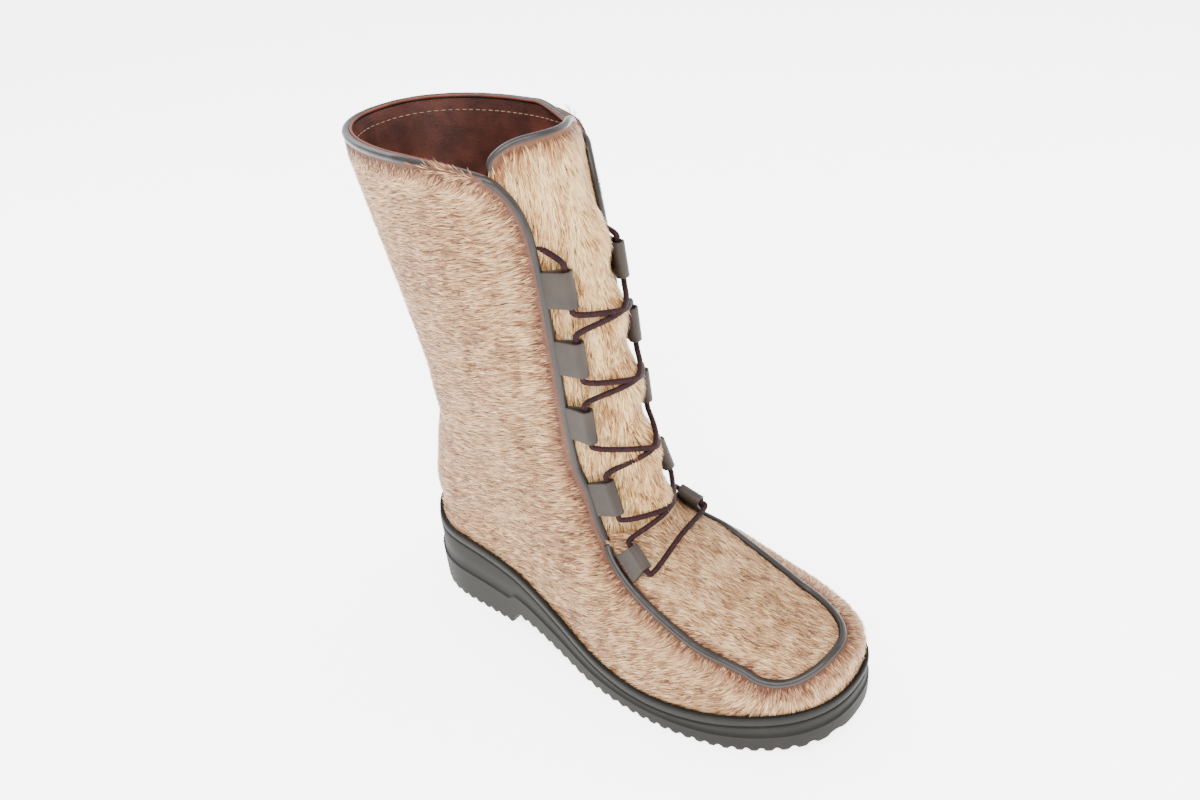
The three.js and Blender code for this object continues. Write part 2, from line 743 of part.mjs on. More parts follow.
function overTongue(z) {
  const t = turnWhere((p) => p.z > z)
  const tip = tonguePoint(0, t, 0)
  const out = slopeAt(tip)
  return tip.addScaledVector(out, laceRadius + laceClear)
}

function laceStrand(first) {
  const points = []
  const bar = tubeEnds(0, 1).low.add(tubeEnds(0, -1).low).multiplyScalar(0.5)
  const crest = fromAbove(0, bar.y, -(laceRadius + laceClear))
  points.push(vec(0, crest.y, Math.max(crest.z, bar.z)))
  for (let row = 0; row <= loopRows.length; row += 1) {
    const side = row % 2 === 0 ? first : -first
    const { through, high } = tubeEnds(row, side)
    points.push(...through)
    if (row < loopRows.length) {
      const next = tubeEnds(row + 1, -side).low
      points.push(overTongue((high.z + next.z) / 2))
    }
  }
  return tube(points, laceRadius, 46, 7)
}

function makeLace() {
  return geometryOf(solid(laceStrand(-1)).add(solid(laceStrand(1))))
}

// The boot
const edge = edgeRoute()
const plug = plugRoute(edge)
const channel = pipingRadius + seat

const edgeSteps = 64
const plugSteps = 34
const channels = [
  tube(stretch(edge, seat), channel, edgeSteps, 8),
  tube(stretch(plug, seat), channel, plugSteps, 8),
]
add('outsole', makeOutsole(), finish.rubber)
add('insole', makeInsole(), finish.insole)
add('upper', makeUpper(channels), finish.hide)
add('tongue', makeTongue(), finish.tongueHide)
add('edge_piping', tube(edge, pipingRadius, edgeSteps, 8), finish.piping)
add('plug_piping', tube(plug, pipingRadius, plugSteps, 8), finish.piping)
for (let row = 0; row <= loopRows.length; row += 1) {
  add('lace_loop_outer_' + (row + 1), makeLoop(row, -1), finish.tab)
  add('lace_loop_inner_' + (row + 1), makeLoop(row, 1), finish.tab)
}
add('lace', makeLace(), finish.lace)

export default root
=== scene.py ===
import math

import bpy
import numpy as np
from mathutils import Matrix, Vector


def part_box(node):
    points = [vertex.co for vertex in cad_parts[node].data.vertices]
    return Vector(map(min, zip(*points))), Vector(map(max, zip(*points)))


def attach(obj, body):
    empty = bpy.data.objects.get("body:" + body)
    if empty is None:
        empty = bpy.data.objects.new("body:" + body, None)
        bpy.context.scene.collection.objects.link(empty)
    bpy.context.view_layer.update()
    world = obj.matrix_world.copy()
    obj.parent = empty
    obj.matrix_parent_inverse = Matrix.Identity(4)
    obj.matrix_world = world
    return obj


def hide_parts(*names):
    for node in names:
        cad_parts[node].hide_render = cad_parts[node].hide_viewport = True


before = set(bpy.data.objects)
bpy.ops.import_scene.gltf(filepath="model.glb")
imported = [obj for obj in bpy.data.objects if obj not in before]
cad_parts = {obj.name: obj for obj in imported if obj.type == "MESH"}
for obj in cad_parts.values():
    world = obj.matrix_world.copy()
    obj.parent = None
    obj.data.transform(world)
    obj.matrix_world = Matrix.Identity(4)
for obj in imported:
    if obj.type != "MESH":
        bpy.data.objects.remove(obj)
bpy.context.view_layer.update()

# A laced winter boot in hair-on hide, right foot. Lengths here are millimetres; meshes are made
# in metres at the end. The toe points along -Y, the outer side of the foot is -X.
soleLow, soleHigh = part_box("outsole")
last = dict(
    soleLength=(soleHigh.y - soleLow.y) * 1000,
    heelCentre=soleHigh.y * 1000,
    ballWidth=109, heelHeight=48, instepHeight=72, shaftHeight=242,
    toeSpring=7, archRise=9, soleRim=3.5, wall=3, seat=0.35,
    lipHeight=2.5, heelLip=6, heelDraft=3,
    throatHalf=26.5, throatFootHalf=30, throatCorner=8, throatFoot=79, collarFlare=24, collarRound=42,
    loopPitch=39.5, instepFillet=16, footPower=2.3, legPower=2.2,
)
collarHeight = last["heelHeight"] + last["shaftHeight"]
rimInset = last["soleRim"] + 2 * last["seat"]

# Tables of the form: places along the sole as shares of its length, widths of the ball's width
soleOutline = dict(
    along=[0, 0.15, 0.3, 0.42, 0.55, 0.66, 0.78, 0.9, 1],
    centre=[0, -0.01, -0.028, -0.05, -0.055, -0.04, -0.02, 0.015, 0.037],
    half=[0.345, 0.355, 0.36, 0.388, 0.451, 0.49, 0.488, 0.487, 0.5],
)
heelRound = dict(reach=0.15, power=2.3)
toeRound = dict(reach=0.3, power=2.3)
seatLine = dict(
    along=[0, 0.08, 0.16, 0.25, 0.33, 0.41, 0.49, 0.57, 0.66, 0.75, 0.84, 0.92, 1],
    up=[1.02, 1, 0.98, 0.92, 0.82, 0.66, 0.49, 0.37, 0.33, 0.36, 0.43, 0.51, 0.61],
)
ridgeLine = dict(
    along=[0, 0.15, 0.27, 0.37, 0.46, 0.52, 0.56, 0.6, 0.66, 0.74, 0.82, 0.88, 0.94, 1],
    rise=[0.15, 0.22, 0.55, 1, 1.17, 1.07, 0.99, 0.93, 0.86, 0.72, 0.59, 0.49, 0.4, 0.34],
    lean=[0, 0, 0, 0.01, 0.02, 0.04, 0.05, 0.06, 0.08, 0.08, 0.06, 0.04, 0.02, 0],
)
toeTop = dict(reach=0.06, power=2.4)
legSections = dict(
    up=[0, 0.045, 0.12, 0.22, 0.34, 0.46, 0.63, 0.82, 1, 1.1],
    back=[0.0245, 0.0245, 0.022, 0.04, 0.06, 0.058, 0.036, 0.008, -0.016, -0.028],
    front=[0.4, 0.45, 0.51, 0.56, 0.535, 0.514, 0.491, 0.464, 0.434, 0.42],
    half=[0.303, 0.305, 0.318, 0.32, 0.328, 0.348, 0.385, 0.425, 0.46, 0.475],
    heel=[0.15, 0.155, 0.16, 0.18, 0.2, 0.22, 0.24, 0.25, 0.25, 0.25],
    toe=[0.3, 0.29, 0.28, 0.28, 0.26, 0.25, 0.24, 0.22, 0.22, 0.22],
)
slices = dict(
    place=list(range(13)),
    along=[0.2, 0.21, 0.23, 0.25, 0.3, 0.36, 0.45, 0.54, 0.64, 0.75, 0.86, 0.94, 0.982],
    up=[1.09, 0.85, 0.6, 0.38, 0.21, 0.09, 0.02, -0.03, -0.05, -0.05, -0.05, -0.04, -0.04],
    tilt=[0, 0, 0.02, 0.09, 0.2, 0.29, 0.46, 0.66, 0.83, 0.92, 0.97, 1, 1],
)
plugSeam = dict(
    along=[0.53, 0.6, 0.68, 0.76, 0.84],
    outer=[0.28, 0.325, 0.347, 0.351, 0.325],
    inner=[0.265, 0.275, 0.265, 0.245, 0.21],
)

# Soft troughs and ridges of the worn hide: middle and run as shares of the sole's length along
# and of the shaft's height up, then half length, half width and depth
creases = [
    dict(side=-1, along=0.1, up=0.34, runAlong=0.8, runUp=-0.6, length=34, width=5, depth=0.9),
    dict(side=-1, along=0.13, up=0.4, runAlong=0.85, runUp=-0.5, length=30, width=6, depth=-0.7),
    dict(side=-1, along=0.2235, up=0.352, runAlong=0.876, runUp=-0.478, length=18, width=3.6, depth=-0.9),
    dict(side=-1, along=0.216, up=0.328, runAlong=0.876, runUp=-0.478, length=20, width=3.2, depth=0.9),
    dict(side=-1, along=0.2, up=0.27, runAlong=1.0, runUp=-0.3, length=40, width=9, depth=0.8),
    dict(side=1, along=0.12, up=0.35, runAlong=0.8, runUp=-0.6, length=34, width=6, depth=0.9),
    dict(side=1, along=0.22, up=0.28, runAlong=1.0, runUp=-0.3, length=42, width=9, depth=0.8),
    dict(side=0, along=0.04, up=0.36, runAlong=0.2, runUp=-1.0, length=16, width=40, depth=0.6),
    dict(side=0, along=0.64, up=-0.02, runAlong=0.3, runUp=0.1, length=40, width=7, depth=0.5),
]


# Plain sums
def clamp(value, low=0.0, high=1.0):
    return np.clip(value, low, high)


def ramp(value, low, high):
    s = clamp((value - low) / (high - low))
    return s * s * (3 - 2 * s)


def unit(v):
    return v / np.maximum(np.linalg.norm(v, axis=-1, keepdims=True), 1e-9)


def vec(x, y, z):
    return np.stack(np.broadcast_arrays(np.asarray(x, float), y, z), -1)


def yAt(along):
    return last["heelCentre"] - along * last["soleLength"]


def alongAt(y):
    return (last["heelCentre"] - y) / last["soleLength"]


def readTable(table, key, column, at):
    x = np.array(table[key], float)
    v = np.array(table[column], float)
    slope = np.empty_like(v)
    slope[1:-1] = (v[2:] - v[:-2]) / (x[2:] - x[:-2])
    slope[0] = (v[1] - v[0]) / (x[1] - x[0])
    slope[-1] = (v[-1] - v[-2]) / (x[-1] - x[-2])
    place = np.clip(at, x[0], x[-1])
    i = np.clip(np.searchsorted(x, place) - 1, 0, len(x) - 2)
    span = x[i + 1] - x[i]
    s = (place - x[i]) / span
    level = v[i] * (1 + 2 * s) * (1 - s) ** 2 + v[i + 1] * (3 - 2 * s) * s * s
    return level + span * (slope[i] * s * (1 - s) ** 2 - slope[i + 1] * (1 - s) * s * s)


# The sole's outline, the height of its top and of its tread
def footprint(y, inset):
    along = clamp((last["heelCentre"] - inset - y) / (last["soleLength"] - 2 * inset))
    heel = np.maximum(0, 1 - along / heelRound["reach"]) ** heelRound["power"]
    toe = np.maximum(0, 1 - (1 - along) / toeRound["reach"]) ** toeRound["power"]
    rounded = (1 - heel) ** (1 / heelRound["power"]) * (1 - toe) ** (1 / toeRound["power"])
    half = (readTable(soleOutline, "along", "half", along) * last["ballWidth"] - inset) * rounded
    return readTable(soleOutline, "along", "centre", along) * last["ballWidth"], half


def seatHeight(y):
    return readTable(seatLine, "along", "up", alongAt(y)) * last["heelHeight"]


def lipTop(y):
    return seatHeight(y) + last["lipHeight"] + last["heelLip"] * (1 - ramp(alongAt(y), 0, 0.09))


def treadHeight(y):
    along = alongAt(y)
    arch = last["archRise"] * ramp(along, 0.275, 0.3) * (1 - ramp(along, 0.3, 0.55))
    return arch + last["toeSpring"] * clamp((along - 0.8) / 0.2) ** 2


# The last: a foot and a leg blended at the instep, below zero inside
def footDepth(p):
    x, y, z = p[..., 0], p[..., 1], p[..., 2]
    along = alongAt(y)
    draft = last["heelDraft"] * (1 - ramp(along, 0.02, 0.2))
    centre, half = footprint(y + draft, rimInset)
    low = 0.1 * last["instepHeight"]
    end = clamp((along - (1 - toeTop["reach"])) / toeTop["reach"], 0, 0.999)
    blunt = (1 - end ** toeTop["power"]) ** (1 / toeTop["power"])
    rise = readTable(ridgeLine, "along", "rise", along) * last["instepHeight"] - low
    rise = rise * blunt
    lift = np.maximum(0, z - seatHeight(y) - low) / np.maximum(1, rise)
    lean = readTable(ridgeLine, "along", "lean", along) * last["ballWidth"] * np.minimum(1, lift)
    across = np.abs(x - centre - lean) / np.maximum(half, 0.01)
    span = np.minimum(half, rise + low)
    power = last["footPower"]
    depth = ((across ** power + lift ** power) ** (1 / power) - 1) * span
    return np.where(half < 0.01, 60 + np.abs(y), depth)


def legDepth(p):
    x, y, z = p[..., 0], p[..., 1], p[..., 2]
    up = (z - last["heelHeight"]) / last["shaftHeight"]
    half = readTable(legSections, "up", "half", up) * last["ballWidth"]
    back = yAt(readTable(legSections, "up", "back", up))
    front = yAt(readTable(legSections, "up", "front", up))
    heelReach = readTable(legSections, "up", "heel", up) * last["soleLength"]
    toeReach = readTable(legSections, "up", "toe", up) * last["soleLength"]
    rear = np.maximum(0, (y - back + heelReach) / heelReach)
    fore = np.maximum(0, (front + toeReach - y) / toeReach)
    power = last["legPower"]
    reach = (np.abs(x) / half) ** power + np.maximum(rear, fore) ** power
    return (reach ** (1 / power) - 1) * half


def lastDepth(p):
    foot = footDepth(p)
    leg = legDepth(p)
    fillet = 0.5 + last["instepFillet"] * ramp(alongAt(p[..., 1]), 0.22, 0.42)
    mix = clamp(0.5 + 0.5 * (leg - foot) / fillet)
    blended = leg + (foot - leg) * mix - fillet * mix * (1 - mix)
    return np.maximum(blended, seatHeight(p[..., 1]) - 16 - p[..., 2])


def slopeAt(p, step=0.2):
    out = []
    for axis in range(3):
        move = np.zeros(3)
        move[axis] = step
        out.append(lastDepth(p + move) - lastDepth(p - move))
    return unit(np.stack(out, -1))


# The first point where a ray from inside leaves the last, moved in by a depth
def cast(start, direction, depth=0.0, reach=240.0, stride=3.0):
    start, direction = np.broadcast_arrays(np.asarray(start, float), np.asarray(direction, float))
    near = np.zeros(start.shape[:-1])
    within = np.ones(near.shape, bool)
    for far in np.arange(stride, reach, stride):
        within = within & (lastDepth(start + direction * far) < 0)
        near = np.where(within, far, near)
        if not within.any():
            break
    far = near + stride
    for _ in range(13):
        middle = (near + far) / 2
        inside = lastDepth(start + direction * middle[..., None]) < 0
        near = np.where(inside, middle, near)
        far = np.where(inside, far, middle)
    surface = start + direction * near[..., None]
    if np.all(np.asarray(depth) == 0):
        return surface
    return surface - slopeAt(surface) * np.asarray(depth)[..., None]


# A point of the upper: t runs from the collar to the toe, a turns round the slice
def sliceFrame(t):
    place = np.asarray(t, float) * 12
    y = yAt(readTable(slices, "place", "along", place))
    floor = last["heelHeight"] + (seatHeight(y) - last["heelHeight"]) * ramp(place, 4, 8)
    tilt = readTable(slices, "place", "tilt", place) * math.pi / 2
    up = readTable(slices, "place", "up", place) * last["shaftHeight"]
    z = floor + up + ramp(place, 5, 9) * 0.42 * last["instepHeight"]
    middle = vec(footprint(y, 0)[0] * ramp(place, 4, 8), y, z)
    return middle, vec(0, -np.cos(tilt), np.sin(tilt))


def skin(t, a, depth=0.0):
    t, a = np.broadcast_arrays(np.asarray(t, float), np.asarray(a, float))
    middle, ahead = sliceFrame(t)
    ray = ahead * np.sin(a)[..., None] + vec(np.cos(a), 0, 0)
    return cast(middle, ray, depth)


legMiddle = yAt(0.22)


def fromFront(x, z, depth=0.0):
    return cast(vec(x, legMiddle, z), vec(0, -1, 0), depth)


def fromAbove(x, y, depth=0.0):
    return cast(vec(x, y, seatHeight(np.asarray(y, float)) + 4), vec(0, 0, 1), depth)


def roundLeg(turn, z, depth=0.0):
    return cast(vec(0, legMiddle, z), vec(np.sin(turn), np.cos(turn), 0), depth)


def creaseAt(p):
    sink = np.zeros(p.shape[:-1])
    for row in creases:
        along = yAt(row["along"]) - p[..., 1]
        up = p[..., 2] - last["heelHeight"] - row["up"] * last["shaftHeight"]
        run = along * row["runAlong"] + up * row["runUp"]
        off = along * row["runUp"] - up * row["runAlong"]
        bell = np.exp(-(run / row["length"]) ** 2 - (off / row["width"]) ** 2)
        facing = 1 if row["side"] == 0 else ramp(p[..., 0] * row["side"], 5, 20)
        sink = sink + row["depth"] * bell * facing
    return sink


# Throat, plug and the routes of the piping
def throatEdge(z):
    up = clamp((z - collarHeight + last["collarRound"]) / last["collarRound"])
    foot = last["throatFoot"]
    opened = ramp(z, foot, foot + last["loopPitch"])
    side = last["throatFootHalf"] + (last["throatHalf"] - last["throatFootHalf"]) * opened
    return side + last["collarFlare"] * (1 - np.sqrt(1 - up ** 2.4))


def plugHalf(along, column):
    return readTable(plugSeam, "along", column, along) * last["ballWidth"]


def smoothPath(points, count):
    # a centripetal curve through the points, sampled evenly along its length
    p = np.asarray(points, float)
    p = np.vstack([2 * p[0] - p[1], p, 2 * p[-1] - p[-2]])
    out = []
    for i in range(1, len(p) - 2):
        p0, p1, p2, p3 = p[i - 1:i + 3]
        d0, d1, d2 = (max(1e-4, np.linalg.norm(b - a)) ** 0.5 for a, b in ((p0, p1), (p1, p2), (p2, p3)))
        m1 = ((p1 - p0) / d0 - (p2 - p0) / (d0 + d1) + (p2 - p1) / d1) * d1
        m2 = ((p2 - p1) / d1 - (p3 - p1) / (d1 + d2) + (p3 - p2) / d2) * d1
        s = np.linspace(0, 1, 24, endpoint=False)[:, None]
        level = p1 * (1 + 2 * s) * (1 - s) ** 2 + p2 * (3 - 2 * s) * s * s
        out.append(level + m1 * s * (1 - s) ** 2 - m2 * (1 - s) * s * s)
    out.append(p[-2][None])
    dense = np.vstack(out)
    far = np.concatenate([[0], np.cumsum(np.linalg.norm(np.diff(dense, axis=0), axis=1))])
    even = np.linspace(0, far[-1], count)
    return np.stack([np.interp(even, far, dense[:, k]) for k in range(3)], -1)


def edgeRoute(depth, lift=0.0):
    low = last["throatFoot"] + last["throatCorner"]
    bend = collarHeight - last["collarRound"]
    heights = [low + (bend - low) * i / 12 for i in range(12)]
    heights += [bend + last["collarRound"] * i / 10 for i in range(9)]
    z = np.array(heights)
    turn = np.linspace(-1.7, 1.7, 19)
    outer = fromFront(-throatEdge(z), z, depth)
    inner = fromFront(throatEdge(z), z, depth)
    collar = roundLeg(turn, collarHeight, depth)
    route = np.vstack([outer, collar, inner[::-1]])
    route[:, 2] += lift
    return route


piping = dict(radius=2.1, proud=0.5, reach=0.963, sides=18)


def plugRoute(edge):
    front = plugSeam["along"][-1]
    reach = piping["reach"] - front
    start = alongAt(edge[0][1]) + 0.02
    along = start + (front - start) * np.arange(8) / 8
    turn = np.pi * np.arange(13) / 12
    wide = np.where(np.arange(13) < 6, plugHalf(front, "outer"), plugHalf(front, "inner"))
    nose = -np.cos(turn) * wide
    x = np.concatenate([-plugHalf(along, "outer"), nose, plugHalf(along, "inner")[::-1]])
    tip = front + reach * np.sin(turn)
    places = np.concatenate([along, tip, along[::-1]])
    route = fromAbove(x, yAt(places), -piping["proud"])
    gap = 5 * last["seat"]
    first = edge[0] + unit(route[0] - edge[0]) * gap
    final = edge[-1] + unit(route[-1] - edge[-1]) * gap
    return np.vstack([first, route, final])


edge = edgeRoute(last["wall"] / 2)
plug = plugRoute(edge)
edgePath = smoothPath(edge, 420)
plugPath = smoothPath(plug, 300)
print("form and routes ready")


# Meshes
def meshFrom(name, points, faces, materials, smooth=True, sharp=None):
    mesh = bpy.data.meshes.new(name)
    mesh.from_pydata((np.asarray(points) * 0.001).tolist(), [], [tuple(f) for f in faces])
    mesh.validate()
    for material in materials:
        mesh.materials.append(material)
    if smooth:
        mesh.shade_smooth()
    if sharp:
        mesh.set_sharp_from_angle(angle=math.radians(sharp))
    made = bpy.data.objects.new(name, mesh)
    bpy.context.scene.collection.objects.link(made)
    return made


def place(made, slot, *nodes):
    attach(made, "root")
    if nodes:
        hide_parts(*nodes)
    print("made", made.name)
    return made


def gridFaces(rows, columns, closed=False, flip=False):
    # quads of a grid whose points lie row after row; closed joins the last column to the first
    i, j = np.meshgrid(np.arange(rows - 1), np.arange(columns if closed else columns - 1), indexing="ij")
    a = i * columns + j
    b = i * columns + (j + 1) % columns
    quads = np.stack([a, b, b + columns, a + columns], -1).reshape(-1, 4)
    return quads[:, ::-1] if flip else quads


def fanFaces(base, size, middle, flip=False):
    ring = [(middle, base + j, base + (j + 1) % size) for j in range(size)]
    return [f[::-1] for f in ring] if flip else ring


def sweep(path, radius, sides, flat=1.0):
    # a round tube along a path, closed at both ends; its frame is carried along without twist
    tangent = unit(np.gradient(path, axis=0))
    side = unit(np.cross(tangent[0], [0.3, 0.2, 1.0]))
    radii = np.broadcast_to(radius, len(path))
    points = []
    turn = np.arange(sides) / sides * 2 * math.pi
    for p, way, r in zip(path, tangent, radii):
        side = unit(side - way * (side @ way))
        over = np.cross(way, side)
        points.append(p + r * (np.cos(turn)[:, None] * side + flat * np.sin(turn)[:, None] * over))
    points = np.vstack([*points, path[:1], path[-1:]])
    total = len(path) * sides
    faces = [*gridFaces(len(path), sides, closed=True)]
    faces += fanFaces(0, sides, total, flip=True)
    faces += fanFaces(total - sides, sides, total + 1)
    return points, faces


def joinParts(parts):
    points, faces, base = [], [], 0
    for some, quads in parts:
        points.append(some)
        faces += [tuple(int(v) + base for v in f) for f in quads]
        base += len(some)
    return np.vstack(points), faces


# Shader maths: a socket that Python's operators join up, and one method for any other node
class Wire:
    def __init__(self, tree, socket=None):
        self.tree = tree
        self.socket = socket

    def node(self, kind, settings=None, inputs=None, out=0):
        made = self.tree.nodes.new(kind)
        for name, value in (settings or {}).items():
            if name == "stops":
                while len(made.color_ramp.elements) < len(value):
                    made.color_ramp.elements.new(0.5)
                for element, (at, colour) in zip(made.color_ramp.elements, value):
                    element.position = at
                    element.color = (*colour, 1)
            else:
                setattr(made, name, value)
        for name, value in (inputs or {}).items():
            if isinstance(value, Wire):
                self.tree.links.new(value.socket, made.inputs[name])
            else:
                made.inputs[name].default_value = value
        return Wire(self.tree, made.outputs[out])

    def math(self, operation, a, b=0.0):
        return self.node("ShaderNodeMath", {"operation": operation}, {0: a, 1: b})

    def __add__(self, other):
        return self.math("ADD", self, other)

    def __radd__(self, other):
        return self.math("ADD", other, self)

    def __sub__(self, other):
        return self.math("SUBTRACT", self, other)

    def __rsub__(self, other):
        return self.math("SUBTRACT", other, self)

    def __mul__(self, other):
        return self.math("MULTIPLY", self, other)

    def __rmul__(self, other):
        return self.math("MULTIPLY", other, self)

    def __pow__(self, other):
        return self.math("POWER", self, other)

    def limit(self):
        return self.math("MINIMUM", self.math("MAXIMUM", self, 0.0), 1.0)

    def band(self, low, high):
        settings = {"interpolation_type": "SMOOTHSTEP"}
        inputs = {"Value": self, "From Min": low, "From Max": high}
        return self.node("ShaderNodeMapRange", settings, inputs)

    def blend(self, a, b):
        settings = {"data_type": "RGBA"}
        return self.node("ShaderNodeMix", settings, {0: self, 6: a, 7: b}, out=2)

    def noise(self, where, scale, detail=3.0, rough=0.5):
        inputs = {"Vector": where, "Scale": scale, "Detail": detail, "Roughness": rough}
        return self.node("ShaderNodeTexNoise", None, inputs)

    def stretched(self, where, scale):
        settings = {"operation": "MULTIPLY"}
        return self.node("ShaderNodeVectorMath", settings, {0: where, 1: scale})


def rgb(red, green, blue):
    # a colour as seen on a screen, 0 to 255, in the light that shaders work in
    level = [c / 255 for c in (red, green, blue)]
    return tuple(c / 12.92 if c <= 0.04045 else ((c + 0.055) / 1.055) ** 2.4 for c in level)


def opaque(colour):
    return (*colour, 1)


def startMaterial(name, **constants):
    material = bpy.data.materials.new(name)
    material.use_nodes = True
    tree = material.node_tree
    shader = tree.nodes["Principled BSDF"]
    for socket, value in constants.items():
        shader.inputs[socket.replace("_", " ")].default_value = value
    start = Wire(tree)
    where = start.node("ShaderNodeTexCoord", None, None, out=3)
    return material, start, where, shader


def feed(start, shader, colour=None, rough=None, height=None, bump=0.3, reach=0.001):
    if colour is not None:
        start.tree.links.new(colour.socket, shader.inputs["Base Color"])
    if rough is not None:
        start.tree.links.new(rough.socket, shader.inputs["Roughness"])
    if height is not None:
        inputs = {"Strength": bump, "Distance": reach, "Height": height}
        normal = start.node("ShaderNodeBump", None, inputs)
        start.tree.links.new(normal.socket, shader.inputs["Normal"])


# shadedRoot is the roots' own red-brown darkened as painted shade, for the base of each hair and the skin
# between hairs
hairTones = dict(
    hide=dict(
        pale=rgb(220, 184, 139), mid=rgb(176, 136, 94), tan=rgb(130, 89, 57), dark=rgb(82, 50, 32),
        root=rgb(104, 50, 29), shadedRoot=rgb(56, 26, 17),
    ),
    tongue=dict(
        pale=rgb(230, 196, 144), mid=rgb(194, 152, 98), tan=rgb(148, 98, 52), dark=rgb(92, 54, 28),
        root=rgb(118, 56, 26), shadedRoot=rgb(60, 30, 16),
    ),
)


def hairMaterial(name, tones):
    material, start, _, shader = startMaterial(name, Roughness=0.55, Specular_IOR_Level=0.3)
    settings = {"attribute_type": "GEOMETRY", "attribute_name": "strand"}
    strand = start.node("ShaderNodeAttribute", settings, None)
    red = start.node("ShaderNodeSeparateColor", None, {0: strand}, out=0)
    green = start.node("ShaderNodeSeparateColor", None, {0: strand}, out=1)
    blue = start.node("ShaderNodeSeparateColor", None, {0: strand}, out=2)
    stops = [(0.0, tones["dark"]), (0.28, tones["tan"]), (0.6, tones["mid"]), (1.0, tones["pale"])]
    # painted shade: each blade darkens from tip to root, as if shaded by the fur round it
    tone = green + (red - 0.5) * 0.3
    body = start.node("ShaderNodeValToRGB", {"stops": stops}, {0: tone.limit()})
    # red-brown roots are the hide's own colour; they turn darker towards the base of the blade as painted
    # shade
    shadedRootColour = red.band(0.75, 0.0).blend(opaque(tones["root"]), opaque(tones["shadedRoot"]))
    redness = (blue * (1.25 - red)).limit()
    colour = redness.blend(body, shadedRootColour)
    feed(start, shader, colour)
    return material


def shadedSkinMaterial(name, tones):
    # the skin between the hairs, with the same streaks at the same scale, kept dark as painted shade in
    # the gaps
    material, start, where, shader = startMaterial(name, Roughness=0.8)
    streak = start.noise(start.stretched(where, (900, 160, 900)), 1.0, 4.0)
    patch = start.noise(where, 28.0, 2.0)
    tone = (streak * 0.8 + patch * 0.5 - 0.25).limit()
    # painted shade: the stops run only from the darkened root colour to tan, so the gaps between hairs
    # look shadowed
    stops = [(0.0, tones["shadedRoot"]), (0.5, tones["dark"]), (1.0, tones["tan"])]
    colour = start.node("ShaderNodeValToRGB", {"stops": stops}, {0: tone})
    feed(start, shader, colour, None, streak, 0.6, 0.0006)
    return material


def leatherMaterial(name, base, dark, rough, grain=900.0, bump=0.25, coat=0.0, shine=0.3):
    constants = dict(Coat_Weight=coat, Coat_Roughness=0.2, Specular_IOR_Level=shine)
    material, start, where, shader = startMaterial(name, **constants)
    inputs = {"Vector": where, "Scale": grain}
    cells = start.node("ShaderNodeTexVoronoi", {"feature": "DISTANCE_TO_EDGE"}, inputs)
    wear = start.noise(where, 60.0, 4.0)
    fine = start.noise(where, grain * 2.2, 2.0)
    colour = wear.band(0.3, 0.75).blend(opaque(dark), opaque(base))
    roughness = wear * 0.18 + (rough - 0.09)
    height = cells.band(0.0, 0.25) * 0.8 + fine * 0.4
    feed(start, shader, colour, roughness, height, bump, 0.0003)
    return material


def feltMaterial(name, base, dark, scale=420.0):
    material, start, where, shader = startMaterial(name, Roughness=0.95)
    blot = start.noise(where, 130.0, 5.0, 0.7)
    fibre = start.noise(where, scale * 3, 3.0, 0.7)
    colour = (blot * 0.7 + fibre * 0.5).band(0.42, 0.78).blend(opaque(dark), opaque(base))
    feed(start, shader, colour, None, fibre + blot * 0.6, 0.8, 0.0012)
    return material


def rubberMaterial():
    material, start, where, shader = startMaterial("rubber", Specular_IOR_Level=0.15)
    dust = start.noise(where, 22.0, 5.0, 0.6)
    fine = start.noise(where, 1500.0, 2.0)
    colour = dust.band(0.35, 0.8).blend(opaque(rgb(22, 21, 18)), opaque(rgb(33, 31, 27)))
    roughness = dust * 0.15 + 0.62
    feed(start, shader, colour, roughness, fine + dust * 0.4, 0.22, 0.0003)
    return material


def laceMaterial():
    material, start, where, shader = startMaterial("laceBraid", Roughness=0.75, Specular_IOR_Level=0.15)
    weave = start.node("ShaderNodeTexVoronoi", {"feature": "F1"}, {"Vector": where, "Scale": 1100.0})
    shade = start.noise(where, 300.0, 3.0)
    colour = (weave * 0.5 + shade * 0.7).band(0.25, 0.85)
    colour = colour.blend(opaque(rgb(48, 20, 22)), opaque(rgb(20, 8, 10)))
    feed(start, shader, colour, None, 1.0 - weave, 0.7, 0.0004)
    return material


def clothMaterial(name, base, dark, pitch=1100.0):
    material, start, where, shader = startMaterial(name, Roughness=0.9)
    inputs = {"Vector": where, "Scale": pitch / 3}
    warp = start.node("ShaderNodeTexWave", {"bands_direction": "Z"}, inputs)
    weft = start.node("ShaderNodeTexWave", {"bands_direction": "DIAGONAL"}, inputs)
    weave = warp * 0.5 + weft * 0.5
    fuzz = start.noise(where, 240.0, 4.0)
    colour = (weave * 0.4 + fuzz * 0.6).band(0.2, 0.8).blend(opaque(dark), opaque(base))
    feed(start, shader, colour, None, weave, 0.4, 0.0003)
    return material


hideHair = hairMaterial("hideHair", hairTones["hide"])
tongueHair = hairMaterial("tongueHair", hairTones["tongue"])
